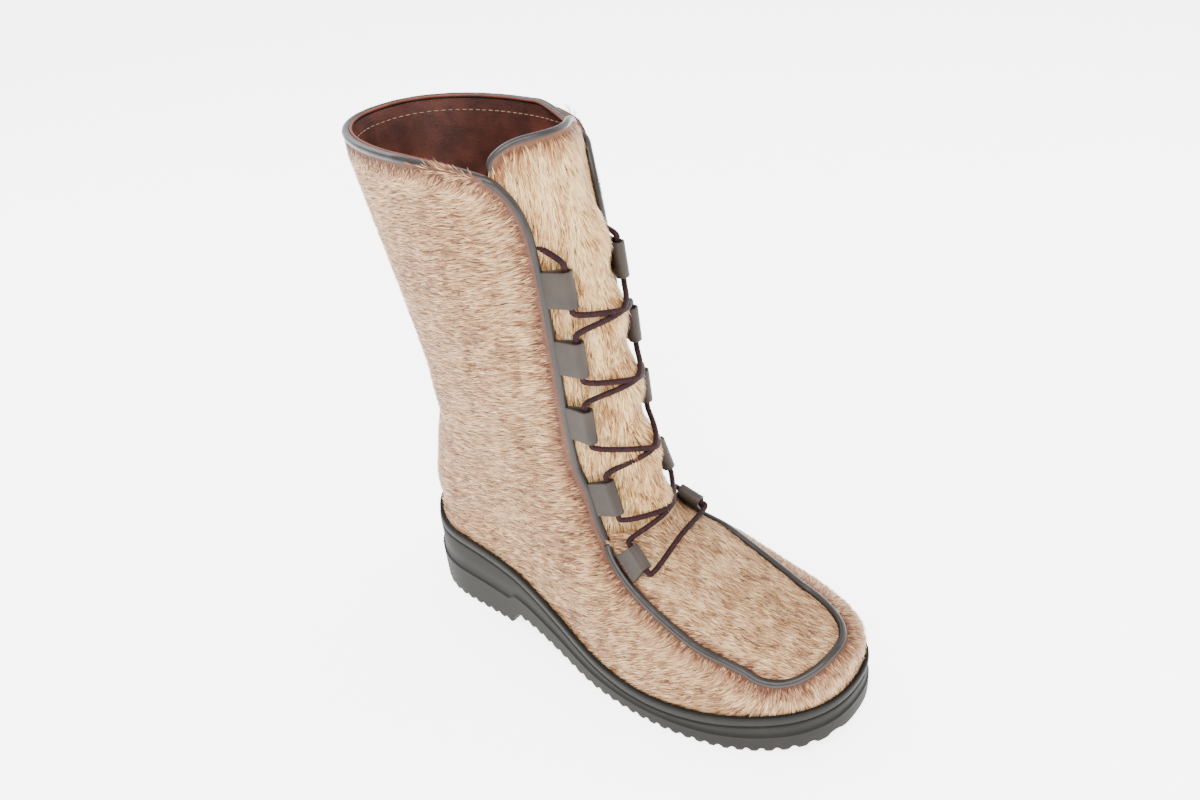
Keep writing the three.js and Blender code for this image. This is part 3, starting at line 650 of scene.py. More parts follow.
# the skin materials carry painted shade for the gaps between the hairs
shadedHideSkin = shadedSkinMaterial("shadedHideSkin", hairTones["hide"])
shadedTongueSkin = shadedSkinMaterial("shadedTongueSkin", hairTones["tongue"])
taupe = (rgb(34, 28, 24), rgb(24, 19, 16))
pipingLeather = leatherMaterial("pipingLeather", *taupe, 0.36, 800, 0.2, 0.15, 0.25)
tabLeather = leatherMaterial("tabLeather", rgb(54, 46, 40), rgb(41, 35, 30), 0.5, 1000, 0.22, 0.0, 0.2)
liningLeather = leatherMaterial("liningLeather", rgb(80, 40, 30), rgb(50, 25, 19), 0.42, 700, 0.3)
edgeLeather = leatherMaterial("edgeLeather", rgb(112, 56, 36), rgb(80, 38, 24), 0.6, 700, 0.3)
shaftCloth = clothMaterial("shaftCloth", rgb(38, 36, 34), rgb(18, 17, 16))
tongueFelt = feltMaterial("tongueFelt", rgb(84, 81, 68), rgb(46, 44, 36))
insoleFelt = feltMaterial("insoleFelt", rgb(76, 70, 62), rgb(42, 38, 34))
thread = clothMaterial("thread", rgb(160, 132, 108), rgb(120, 92, 72), 3000)
soleRubber = rubberMaterial()
laceBraid = laceMaterial()
print("materials ready")


# Camera, light and floor, set first so that the framing is known
view = dict(
    turn=-0.935, rise=0.562, far=646.99, roll=-0.051, target=(94.79, -88.06, 100.0),
    lens=24.0, closer=1.3, shift=-0.079,
)


def makeCamera():
    sinTurn, cosTurn = math.sin(view["turn"]), math.cos(view["turn"])
    sinRise, cosRise = math.sin(view["rise"]), math.cos(view["rise"])
    back = Vector((sinTurn * cosRise, -cosTurn * cosRise, sinRise))
    right = Vector((cosTurn, sinTurn, 0))
    up = back.cross(right)
    c, s = math.cos(view["roll"]), math.sin(view["roll"])
    columns = (right * c + up * s, up * c - right * s, back)
    data = bpy.data.cameras.new("camera")
    data.lens = view["lens"] * view["closer"]
    data.sensor_width = 36
    data.shift_x = view["shift"]
    data.clip_start = 0.02
    camera = bpy.data.objects.new("camera", data)
    camera.matrix_world = Matrix(columns).transposed().to_4x4()
    camera.location = (Vector(view["target"]) + back * view["far"]) * 0.001
    bpy.context.scene.collection.objects.link(camera)
    bpy.context.scene.camera = camera


studio = dict(
    sky=2.2, skyColour=(0.95, 0.96, 1.0),
    lamps=[
        dict(name="keyLamp", at=(-0.75, -0.65, 1.25), size=0.9, power=30, colour=(1, 0.98, 0.95)),
        dict(name="fillLamp", at=(0.95, -0.5, 0.9), size=1.2, power=9, colour=(0.96, 0.98, 1)),
        dict(name="backLamp", at=(0.1, 1.0, 1.1), size=1.0, power=12, colour=(1, 1, 1)),
    ],
    floor=(0.9, 0.9, 0.89), glow=4.2,
)


def makeStudio():
    world = bpy.data.worlds.new("studio")
    world.use_nodes = True
    background = world.node_tree.nodes["Background"]
    background.inputs[0].default_value = (*studio["skyColour"], 1)
    background.inputs[1].default_value = studio["sky"]
    bpy.context.scene.world = world
    for lamp in studio["lamps"]:
        data = bpy.data.lights.new(lamp["name"], "AREA")
        data.shape = "DISK"
        data.size = lamp["size"]
        data.energy = lamp["power"]
        data.color = lamp["colour"]
        made = bpy.data.objects.new(lamp["name"], data)
        made.location = lamp["at"]
        aim = Vector((0, -0.1, 0.12)) - Vector(lamp["at"])
        made.rotation_euler = aim.to_track_quat("-Z", "Y").to_euler()
        bpy.context.scene.collection.objects.link(made)
    half = 8000
    corners = [(-half, -half, 0), (half, -half, 0), (half, half, 0), (-half, half, 0)]
    material, _, _, shader = startMaterial("floorPaint", Roughness=0.9, Specular_IOR_Level=0.1)
    shader.inputs["Base Color"].default_value = opaque(studio["floor"])
    shader.inputs["Emission Color"].default_value = opaque(studio["floor"])
    shader.inputs["Emission Strength"].default_value = studio["glow"]
    floor = meshFrom("floor", np.array(corners, float), [(0, 1, 2, 3)], [material])


makeCamera()
makeStudio()


# Outsole: rings of its outline, from the tread up to the lip and down to the seat
sole = dict(
    stations=300, lugPitch=7.0, lugGap=3.0, treadDepth=2.0,
    grooveDrop=6.0, grooveWidth=1.6, stepDepth=1.0, lineDepth=0.3,
)


def outlineRing(inset, height, draft=0.0, count=None):
    count = count or sole["stations"]
    step = np.arange(2 * count)
    step = np.where(step <= count, step, 2 * count - step)
    along = (1 - np.cos(math.pi * step / count)) / 2
    y = last["heelCentre"] - inset - along * (last["soleLength"] - 2 * inset)
    centre, half = footprint(y, inset)
    back = y - draft * (1 - ramp(along, 0.02, 0.2))
    left = np.arange(2 * count) <= count
    return vec(centre + np.where(left, -half, half), back, height(back))


def lugNotch(y):
    apart = np.abs(y / sole["lugPitch"] % 1 - 0.5) * sole["lugPitch"]
    return sole["treadDepth"] * (1 - ramp(apart, sole["lugGap"] / 2 - 0.8, sole["lugGap"] / 2 + 0.8))


def makeOutsole():
    draft = last["heelDraft"]
    step = sole["stepDepth"]
    groove = sole["grooveDrop"]
    wide = sole["grooveWidth"]

    def share(part):
        return lambda y: treadHeight(y) + part * (lipTop(y) - treadHeight(y))

    def line(y):
        return sole["lineDepth"] * ramp(alongAt(y), 0.55, 0.7)

    rings = [
        outlineRing(2.2, lambda y: treadHeight(y) + lugNotch(y)),
        outlineRing(0.7, lambda y: treadHeight(y) + lugNotch(y) + 0.1),
        outlineRing(0.2, lambda y: treadHeight(y) + lugNotch(y) + 0.6),
        outlineRing(0.0, lambda y: treadHeight(y) + lugNotch(y) * 0.8 + 1.3),
        outlineRing(0.0, lambda y: treadHeight(y) + 3.4),
        outlineRing(0.0, share(0.3)),
        outlineRing(0.0, lambda y: share(0.45)(y) - 0.3),
        outlineRing(0.35, share(0.45)),
        outlineRing(step - 0.2, lambda y: share(0.45)(y) + step - 0.2),
        outlineRing(step, lambda y: share(0.45)(y) + step + 0.4),
        outlineRing(step * 0.9, lambda y: share(0.6)(y), draft * 0.4),
        outlineRing(step * 0.7, lambda y: lipTop(y) - groove - wide * 0.8, draft * 0.5),
        outlineRing(step * 0.7 + 0.2, lambda y: lipTop(y) - groove - wide * 0.45, draft * 0.55),
        outlineRing(step * 0.7 + 1.0, lambda y: lipTop(y) - groove - 0.1, draft * 0.6),
        outlineRing(step * 0.7 + 1.0, lambda y: lipTop(y) - groove + 0.1, draft * 0.62),
        outlineRing(step * 0.7 + 0.2, lambda y: lipTop(y) - groove + wide * 0.45, draft * 0.68),
        outlineRing(step * 0.6, lambda y: lipTop(y) - groove + wide * 0.8, draft * 0.7),
        outlineRing(0.45, lambda y: lipTop(y) - 1.6, draft),
        outlineRing(0.55, lambda y: lipTop(y) - 0.6, draft),
        outlineRing(1.0, lipTop, draft),
        outlineRing(1.6, lambda y: lipTop(y) + 0.1, draft),
        outlineRing(last["soleRim"] - 0.8, lipTop, draft),
        outlineRing(last["soleRim"] - 0.3, lambda y: lipTop(y) - 0.6, draft),
        outlineRing(last["soleRim"], seatHeight, draft),
    ]
    for ring in rings[5:11]:
        middle = share(0.36)(ring[:, 1])
        near = np.exp(-((ring[:, 2] - middle) / 1.2) ** 2)
        ring[:, 0] -= np.sign(ring[:, 0]) * line(ring[:, 1]) * near
    size = len(rings[0])
    count = sole["stations"]
    faces = list(gridFaces(len(rings), size, closed=True))
    for base, flip in ((0, True), ((len(rings) - 1) * size, False)):
        for j in range(count):
            quad = (base + j, base + j + 1, base + (size - j - 1) % size, base + (size - j) % size)
            faces.append(quad[::-1] if flip else quad)
    made = meshFrom("outsoleRubber", np.vstack(rings), faces, [soleRubber], sharp=38)
    place(made, "sole", "outsole")


makeOutsole()
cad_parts["insole"].data.materials.clear()
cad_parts["insole"].data.materials.append(insoleFelt)


# Upper: the wall of the hide, cut open at collar, throat and seat
shell = dict(turns=168, rings=190, front=12, lining=50.0, cutWide=150.0, cutHigh=90.0)


def hullMesh(depth, creased):
    t = np.linspace(0, 1, shell["rings"])[:, None]
    a = np.arange(shell["turns"]) / shell["turns"] * 2 * math.pi
    grid = skin(t, a[None, :], depth)
    middle = sliceFrame(1.0)[0]
    rim = skin(1.0, a)
    share = np.linspace(0.92, 0.08, shell["front"])[:, None, None]
    front = cast(middle + (rim - middle)[None] * share, vec(0, -1, 0), depth)
    grid = np.concatenate([grid, front])
    if creased:
        grid = grid - slopeAt(grid) * creaseAt(grid)[..., None]
    points = np.vstack([grid.reshape(-1, 3), grid[0].mean(0)[None], grid[-1].mean(0)[None]])
    size = shell["turns"]
    rings = len(grid)
    faces = list(gridFaces(rings, size, closed=True))
    faces += fanFaces(0, size, rings * size, flip=True)
    faces += fanFaces((rings - 1) * size, size, rings * size + 1)
    return points, faces, grid


def prism(outline, axis, low, high):
    # a straight block with this outline, drawn across one axis
    count = len(outline)
    ends = []
    for at in (low, high):
        columns = [outline[:, 0], outline[:, 1]]
        columns.insert(axis, np.full(count, at))
        ends.append(np.stack(columns, -1))
    faces = [(j, (j + 1) % count, count + (j + 1) % count, count + j) for j in range(count)]
    faces += [tuple(range(count))[::-1], tuple(range(count, 2 * count))]
    return np.vstack(ends), faces


def turnedOut(points, faces):
    # faces the right way out, by the sign of the volume
    volume = 0.0
    for f in faces:
        for k in range(1, len(f) - 1):
            volume += np.dot(points[f[0]], np.cross(points[f[k]], points[f[k + 1]]))
    return faces if volume > 0 else [tuple(f)[::-1] for f in faces]


def cutAway(target, points, faces):
    cutter = meshFrom("cutter", points, turnedOut(points, faces), [], smooth=False)
    change = target.modifiers.new("cut", "BOOLEAN")
    change.operation = "DIFFERENCE"
    change.solver = "MANIFOLD"
    change.object = cutter
    graph = bpy.context.evaluated_depsgraph_get()
    mesh = bpy.data.meshes.new_from_object(target.evaluated_get(graph))
    target.modifiers.clear()
    target.data = mesh
    bpy.data.objects.remove(cutter)


def makeShell():
    points, faces, grid = hullMesh(0.0, True)
    made = meshFrom("hideUpper", points, turnedOut(points, faces), [shadedHideSkin, liningLeather, shaftCloth])
    inner, innerFaces, _ = hullMesh(last["wall"], False)
    cutAway(made, inner, innerFaces)
    y = np.linspace(yAt(-0.1), yAt(1.1), 120)
    seatTop = np.stack([y, seatHeight(y) + last["seat"]], -1)
    under = np.vstack([[[yAt(1.1), -50], [yAt(-0.1), -50]], seatTop])
    cutAway(made, *prism(under, 0, -shell["cutWide"], shell["cutWide"]))
    low = last["throatFoot"]
    z = np.linspace(low, collarHeight, 90)
    bend = last["throatCorner"]
    corner = bend * (1 - np.sqrt(clamp(1 - (1 - clamp((z - low) / bend)) ** 2)))
    side = throatEdge(z) - corner
    right = np.stack([side, z], -1)
    over = np.array([[side[-1], collarHeight + 60], [-side[-1], collarHeight + 60]])
    throat = np.vstack([right, over, (right * [-1, 1])[::-1]])
    cutAway(made, *prism(throat, 1, legMiddle - 300, legMiddle))
    wide, high = shell["cutWide"], collarHeight + shell["cutHigh"]
    top = np.array([[-wide, collarHeight], [wide, collarHeight], [wide, high], [-wide, high]])
    cutAway(made, *prism(top, 1, -2 * wide, 2 * wide))
    mesh = made.data
    centres = np.zeros(len(mesh.polygons) * 3)
    mesh.polygons.foreach_get("center", centres)
    centres = centres.reshape(-1, 3) * 1000
    inside = lastDepth(centres) < -last["wall"] * 0.8
    below = centres[:, 2] < collarHeight - shell["lining"]
    index = np.where(inside, np.where(below, 2, 1), 0)
    mesh.polygons.foreach_set("material_index", index.astype(np.int32))
    mesh.shade_smooth()
    mesh.set_sharp_from_angle(angle=math.radians(35))
    place(made, "hide", "upper")
    return grid


hideGrid = makeShell()


# Lining band inside the collar, with the thin edge that shows beside the piping
lining = dict(top=-0.6, depth=52.0, thick=0.9, rows=26, columns=150, edge=0.75)


def liningPoints(z, share, depth):
    front = fromFront(throatEdge(z), z, last["wall"])
    reach = np.arctan2(front[..., 0], front[..., 1] - legMiddle) - 0.03
    return roundLeg(reach * share, z, depth)


def makeLining():
    z = collarHeight + lining["top"] - np.linspace(0, 1, lining["rows"]) * lining["depth"]
    share = np.linspace(-1, 1, lining["columns"])
    z, share = np.meshgrid(z, share, indexing="ij")
    face = liningPoints(z, share, last["wall"] + lining["thick"])
    rear = liningPoints(z, share, last["wall"] + 0.1)
    rows, columns = z.shape
    points = np.vstack([face.reshape(-1, 3), rear.reshape(-1, 3)])
    total = rows * columns
    faces = [tuple(f) for f in gridFaces(rows, columns)]
    faces += [tuple(v + total for v in f) for f in gridFaces(rows, columns, flip=True)]
    rim = [j for j in range(columns)]
    rim += [i * columns + columns - 1 for i in range(1, rows)]
    rim += [(rows - 1) * columns + j for j in range(columns - 2, -1, -1)]
    rim += [i * columns for i in range(rows - 2, 0, -1)]
    for a, b in zip(rim, rim[1:] + rim[:1]):
        faces.append((a, a + total, b + total, b))
    made = meshFrom("collarLining", points, turnedOut(points, faces), [liningLeather], sharp=40)
    place(made, "hide")
    route = smoothPath(edgeRoute(last["wall"] / 2 + piping["radius"] + 0.35, 0.9)[18:-18], 260)
    points, faces = sweep(route, lining["edge"], 8)
    place(meshFrom("collarEdge", points, faces, [edgeLeather]), "piping")


makeLining()


# Stitches: short thick threads laid along a route just above a surface
def stitchRow(route, normals, length, gap, radius):
    far = np.concatenate([[0], np.cumsum(np.linalg.norm(np.diff(route, axis=0), axis=1))])
    parts = []
    for start in np.arange(gap, far[-1] - length, length + gap):
        at = start + np.linspace(0, 1, 6) * length
        line = np.stack([np.interp(at, far, route[:, k]) for k in range(3)], -1)
        out = np.stack([np.interp(at, far, normals[:, k]) for k in range(3)], -1)
        bow = np.sin(np.linspace(0, math.pi, 6))[:, None]
        line = line + unit(out) * (bow * radius * 1.1 - radius * 0.5)
        parts.append(sweep(line, radius * (0.7 + 0.3 * bow[:, 0]), 6))
    return parts


stitching = dict(radius=0.25, length=2.5, gap=1.3)


def makeStitches():
    parts = []
    share = np.linspace(-0.98, 0.98, 260)
    for drop in (6.5, 49.0, 57.0):
        z = np.full(share.shape, collarHeight - drop)
        deep = last["wall"] + (lining["thick"] if drop < lining["depth"] else 0)
        route = liningPoints(z, share, deep + 0.1)
        parts += stitchRow(route, -slopeAt(route), **stitching)
    points, faces = joinParts(parts)
    place(meshFrom("liningStitches", points, faces, [thread]), "hide")


makeStitches()


# Piping round the collar, down the facings and round the plug
def makePiping():
    cords = (("collarPiping", edgePath, "edge_piping"), ("plugWelt", plugPath, "plug_piping"))
    for name, path, node in cords:
        far = np.arange(len(path))
        ripple = 1 + 0.02 * np.sin(far * 0.9) * np.sin(far * 0.23 + 1)
        points, faces = sweep(path, piping["radius"] * ripple, piping["sides"])
        place(meshFrom(name, points, faces, [pipingLeather]), "piping", node)


makePiping()


# Tongue: a swelling sheet behind the facings, hide outside and felt inside, piped round its top
tongue = dict(
    depth=last["wall"] / 2 + piping["radius"] + 2 * last["seat"], wall=3.5, lap=5, proud=8, corner=15,
    bulge=12, puff=0.2, firstRow=0.252, tuck=13, columns=48, rows=110, piping=1.9,
)


def turnWhere(height=None, reach=None):
    target = np.asarray(height if height is not None else reach, float)
    low = np.zeros(target.shape)
    high = np.full(target.shape, 0.8)
    for _ in range(14):
        middle = (low + high) / 2
        tip = skin(middle, math.pi / 2)
        above = tip[..., 2] > target if height is not None else tip[..., 1] > target
        low = np.where(above, middle, low)
        high = np.where(above, high, middle)
    return high


def frontAngle(t, x, depth):
    low = np.full(np.shape(x), 0.02)
    high = np.full(np.shape(x), math.pi / 2)
    for _ in range(14):
        middle = (low + high) / 2
        wide = skin(t, middle, depth)[..., 0] > np.abs(x)
        low = np.where(wide, middle, low)
        high = np.where(wide, high, middle)
    return np.where(x < 0, math.pi - high, high)


def swell(x, z):
    bend = collarHeight - last["collarRound"]
    half = throatEdge(np.minimum(z, bend)) - piping["radius"] - 1
    across = clamp(1 - (x / half) ** 2)
    foot = last["throatFoot"]
    rise = ramp(z, foot - 2, foot + 26)
    head = 1 - 0.5 * ramp(z, collarHeight - 60, collarHeight)
    firstRow = last["heelHeight"] + tongue["firstRow"] * last["shaftHeight"]
    puff = 1 - tongue["puff"] * np.cos((z - firstRow) / last["loopPitch"] * math.pi * 2)
    return tongue["bulge"] * across ** 3 * rise * head * puff


def tonguePoint(share, t, depth):
    share, t = np.broadcast_arrays(np.asarray(share, float), np.asarray(t, float))
    z = np.minimum(skin(t, math.pi / 2)[..., 2], collarHeight - last["collarRound"])
    widest = skin(t, 0.1, tongue["depth"])[..., 0]
    half = np.minimum(throatEdge(z) + tongue["lap"], 0.95 * widest)
    angle = frontAngle(t, half * share, tongue["depth"])
    grid = []
    for deep in np.atleast_1d(depth):
        seen = skin(t, angle, tongue["depth"] + deep)
        out = skin(t, angle, tongue["depth"] + deep - 1) - seen
        grid.append(seen + out * swell(seen[..., 0], seen[..., 2])[..., None])
    return grid if np.ndim(depth) else grid[0]


def tongueGrids():
    share = np.linspace(-1, 1, tongue["columns"] + 1)
    foot = turnWhere(height=last["throatFoot"])
    tuck = skin(foot, math.pi / 2)[1] - tongue["tuck"]
    end = turnWhere(reach=tuck)
    corner = tongue["corner"] * (1 - np.sqrt(1 - 0.96 * share ** 4))
    head = turnWhere(height=collarHeight + tongue["proud"] - corner)
    down = np.linspace(0, 1, tongue["rows"] + 1)[:, None]
    t = head[None, :] + (end - head[None, :]) * down
    return tonguePoint(share[None, :] + 0 * t, t, (0.0, tongue["wall"] / 2, tongue["wall"]))


tongueFace, tongueMiddle, tongueBack = tongueGrids()


def makeTongue():
    rows, columns = tongueFace.shape[:2]
    rings = np.concatenate([tongueFace, tongueBack[:, ::-1]], axis=1)
    size = 2 * columns
    points = rings.reshape(-1, 3)
    faces = [tuple(f) for f in gridFaces(rows, size, closed=True)]
    for base, flip in ((0, True), ((rows - 1) * size, False)):
        for j in range(columns - 1):
            quad = (base + j, base + j + 1, base + size - j - 2, base + size - j - 1)
            faces.append(quad[::-1] if flip else quad)
    faces = turnedOut(points, faces)
    made = meshFrom("tongueHide", points, faces, [shadedTongueSkin, tongueFelt], sharp=50)
    back = [any(v % size >= columns for v in f) for f in faces]
    made.data.polygons.foreach_set("material_index", np.array(back, np.int32))
    place(made, "tongue_hide", "tongue")
    low = int(rows * 0.86)
    rim = np.vstack([tongueMiddle[low:0:-1, 0], tongueMiddle[0], tongueMiddle[1:low, -1]])
    points, faces = sweep(smoothPath(rim[::3], 320), tongue["piping"], piping["sides"])
    place(meshFrom("tonguePiping", points, faces, [pipingLeather]), "piping")


makeTongue()


# Lace loops: a tab of leather folded round the lace, its two ends sewn in beside the piping
loops = dict(
    rows=[0.252, 0.437, 0.593, 0.742], width=19, reach=13.5, lift=math.pi / 8.5, leather=1.2,
    bore=2.3, cornerAlong=0.57, cornerWidth=14, cornerBase=17, cornerReach=14.5, cornerSet=2.8,
)


def loopFrame(row, side):
    corner = row == 0
    z = 0 if corner else last["heelHeight"] + loops["rows"][row - 1] * last["shaftHeight"]

    def at(step, depth):
        if not corner:
            return fromFront(side * throatEdge(z - step), z - step, depth)
        along = loops["cornerAlong"] + step / last["soleLength"]
        return fromAbove(side * plugHalf(along, "outer" if side < 0 else "inner"), yAt(along), depth)

    depth = -piping["proud"] if corner else last["wall"] / 2
    base = at(0, depth)
    run = unit(at(-4, depth) - at(4, depth))
    out = slopeAt(at(0, 0.0))
    inward = unit(np.cross(out, run) * side)
    ahead = unit(inward * math.cos(loops["lift"]) + out * math.sin(loops["lift"]))
    reach = loops["cornerReach"] if corner else loops["reach"]
    width = loops["cornerWidth"] if corner else loops["width"]
    return base, run, ahead, reach, width


def makeLoop(row, side):
    base, run, ahead, reach, width = loopFrame(row, side)
    foot = loops["cornerBase"] if row == 0 else width
    start = piping["radius"] + 2 * last["seat"] + (loops["cornerSet"] if row == 0 else 0) - 1.2
    third = np.cross(ahead, run)
    roll = loops["bore"] + loops["leather"] / 2
    straight = np.linspace(0, 1, 9)[:-1]
    turn = np.linspace(math.pi / 2, -math.pi / 2, 15)
    upper = np.stack([start + (reach - start) * straight, 0.7 + (roll - 0.7) * straight ** 1.5], -1)
    arc = np.stack([reach + roll * np.cos(turn), roll * np.sin(turn)], -1)
    line = np.vstack([upper, arc, (upper * [1, -1])[::-1]])
    way = unit(np.gradient(line, axis=0))
    out = np.stack([-way[:, 1], way[:, 0]], -1)
    places = np.array([-1, -0.985, -0.94, -0.6, -0.2, 0.2, 0.6, 0.94, 0.985, 1])
    thick = np.array([0.55, 0.85, 1, 1, 1, 1, 1, 1, 0.85, 0.55]) * loops["leather"] / 2
    rings = []
    for share, half in zip(places, thick):
        outline = np.vstack([line + out * half, (line - out * half)[::-1]])
        wide = foot + (width - foot) * clamp((outline[:, :1] - start) / (reach - start))
        rings.append(base + outline[:, :1] * ahead + outline[:, 1:] * third + run * share * wide / 2)
    size = len(rings[0])
    count = len(line)
    points = np.vstack(rings)
    faces = [tuple(f) for f in gridFaces(len(rings), size, closed=True)]
    for low, flip in ((0, True), ((len(rings) - 1) * size, False)):
        for j in range(count - 1):
            quad = (low + j, low + j + 1, low + size - j - 2, low + size - j - 1)
            faces.append(quad[::-1] if flip else quad)
    name = ("outer" if side < 0 else "inner") + "Loop" + str(row + 1)
    node = ("lace_loop_outer_" if side < 0 else "lace_loop_inner_") + str(row + 1)
    made = meshFrom(name, points, turnedOut(points, faces), [tabLeather], sharp=45)
    place(made, "loop", node)


for row in range(5):
    makeLoop(row, -1)
    makeLoop(row, 1)


# Lace: a bar over the plug's edge, then a crossing from each loop to the next one opposite
# and at its ends points behind the facing: in from the throat's edge, up from the loop, and depth
lace = dict(radius=1.5, clear=1.8, turn=3.2, sides=12, ends=[(5, 5, 2.4), (0, 9, 4.9), (-5, 12, 4.6)])


def tubeEnds(row, side):
    base, run, ahead, reach, width = loopFrame(row, side)
    middle = base + ahead * reach
    end = width / 2 + lace["turn"]
    return [middle + run * share * end for share in (-1, -0.75, 0, 0.75, 1)]


def overTongue(z):
    tip = tonguePoint(0.0, turnWhere(height=z), 0.0)
    return tip + slopeAt(tip) * (lace["radius"] + lace["clear"])


def laceStrand(first):
    low = (tubeEnds(0, 1)[0] + tubeEnds(0, -1)[0]) / 2
    crest = fromAbove(0.0, low[1], -(lace["radius"] + lace["clear"]))
    points = [np.array([0, crest[1], max(crest[2], low[2])])]
    for row in range(5):
        side = first if row % 2 == 0 else -first
        through = tubeEnds(row, side)
        points += through
        if row < 4:
            points.append(overTongue((through[-1][2] + tubeEnds(row + 1, -side)[0][2]) / 2))
    side = first if len(loops["rows"]) % 2 == 0 else -first
    top = points[-1][2]
    for inward, up, depth in lace["ends"]:
        points.append(fromFront(side * (throatEdge(top + up) - inward), top + up, depth))
    return smoothPath(points, 460)


def makeLace():
    points, faces = joinParts([sweep(laceStrand(side), lace["radius"], lace["sides"]) for side in (-1, 1)])
    place(meshFrom("laceCord", points, faces, [laceBraid]), "lace", "lace")


makeLace()


# Hair: thin two-faced blades, each with a root, a wide middle and a tip
hair = dict(
    outerShaft=72000, innerShaft=52000, band=66000, plug=34000, tongue=46000,
    patch=40, streak=5, tuft=0.7, tone=0.46, mixed=0.24, paleAt=10, paleReach=4.5,
    length=7.2, width=0.42, lift=0.22, seamReach=6.0, rootReach=4.4,
)
# Line of the band's side seams, which the hair keeps to
seams = dict(topAlong=0.582, topUp=67.2, lowAlong=0.468, low=21.5, radius=0.4)
waves = np.random.default_rng(7).normal(size=(8, 3))
phases = np.random.default_rng(8).uniform(0, 6.28, 8)


def ripple(p, size):
    # smooth noise about -1 to 1 that repeats over this size
    return np.sin(p @ (waves.T / size * 2.2) + phases).mean(-1) * 2.2


def nearest(p, route):
    out = np.empty_like(p)
    for start in range(0, len(p), 4000):
        some = p[start:start + 4000]
        far = ((some[:, None] - route[None]) ** 2).sum(-1)
        out[start:start + 4000] = route[far.argmin(1)]
    return out


def scatter(grid, count, rng, closed):
    if closed:
        grid = np.concatenate([grid, grid[:, :1]], axis=1)
    a, b, c, d = grid[:-1, :-1], grid[:-1, 1:], grid[1:, 1:], grid[1:, :-1]
    area = np.linalg.norm(np.cross(b - a, d - a), axis=-1).ravel()
    cell = rng.choice(len(area), count, p=area / area.sum())
    u, v = rng.random((2, count, 1))
    corners = [g.reshape(-1, 3)[cell] for g in (a, b, c, d)]
    top = corners[0] * (1 - u) + corners[1] * u
    return top * (1 - v) + (corners[3] * (1 - u) + corners[2] * u) * v


def blades(name, material, slot, rng, roots, normals, ways, lengths, reds, tones, loose):
    count = len(roots)
    normals = unit(normals)
    ways = unit(ways - normals * (ways * normals).sum(-1, keepdims=True))
    spin = 0.14 * ripple(roots, 9) + 0.14 * ripple(roots + 50, 3.5) + rng.normal(0, 0.09, count)
    spin = spin * loose
    side = np.cross(normals, ways)
    ways = ways * np.cos(spin)[:, None] + side * np.sin(spin)[:, None]
    side = np.cross(normals, ways)
    rise = hair["lift"] * (0.6 + 0.8 * rng.random(count))[:, None]
    long = (lengths * (0.65 + 0.6 * rng.random(count)))[:, None]
    wide = (hair["width"] * (0.7 + 0.6 * rng.random(count)))[:, None]
    middle = roots + (ways * np.cos(rise) + normals * np.sin(rise)) * long * 0.5
    tip = middle + (ways * np.cos(rise * 0.2) + normals * np.sin(rise * 0.2)) * long * 0.5
    points = np.stack([roots - normals * 0.4, middle - side * wide / 2, middle + side * wide / 2, tip], 1)
    faces = np.array([[0, 1, 2], [2, 1, 3]])[None] + np.arange(count)[:, None, None] * 4
    mesh = bpy.data.meshes.new(name)
    mesh.vertices.add(count * 4)
    mesh.vertices.foreach_set("co", (points * 0.001).ravel())
    mesh.loops.add(count * 6)
    mesh.loops.foreach_set("vertex_index", faces.ravel().astype(np.int32))
    mesh.polygons.add(count * 2)
    mesh.polygons.foreach_set("loop_start", np.arange(0, count * 6, 3, dtype=np.int32))
    mesh.update(calc_edges=True)
    mesh.shade_smooth()
    shine = np.stack([normals, normals - side * 0.5, normals + side * 0.5, normals + ways * 0.3], 1)
    shine = unit(shine + 0.42 * rng.normal(size=(count, 1, 3)))
    mesh.normals_split_custom_set_from_vertices(shine.reshape(-1, 3))
    strand = mesh.color_attributes.new("strand", "FLOAT_COLOR", "POINT")
    colour = np.ones((count, 4, 4), np.float32)
    # first channel: place along the blade, root to tip, which the shader uses to paint shade at the roots
    colour[..., 0] = [0, 0.5, 0.5, 1]
    colour[..., 1] = clamp(tones)[:, None]
    colour[..., 2] = clamp(reds)[:, None]
    strand.data.foreach_set("color", colour.ravel())
    mesh.materials.append(material)
    made = bpy.data.objects.new(name, mesh)
    bpy.context.scene.collection.objects.link(made)
    return place(made, slot)


def inThroat(p, more=0.0):
    front = p[:, 1] < legMiddle
    return front & (np.abs(p[:, 0]) < throatEdge(p[:, 2]) + more) & (p[:, 2] > last["throatFoot"] - more)


def inPlug(p):
    along = alongAt(p[:, 1])
    front = plugSeam["along"][-1]
    wide = np.where(p[:, 0] < 0, plugHalf(along, "outer"), plugHalf(along, "inner"))
    nose = (p[:, 0] / wide) ** 2 + (np.maximum(0, along - front) / (piping["reach"] - front)) ** 2
    start = alongAt(edge[0][1])
    return (along > start - 0.01) & (nose < 1) & (p[:, 2] < last["throatFoot"] + 12)


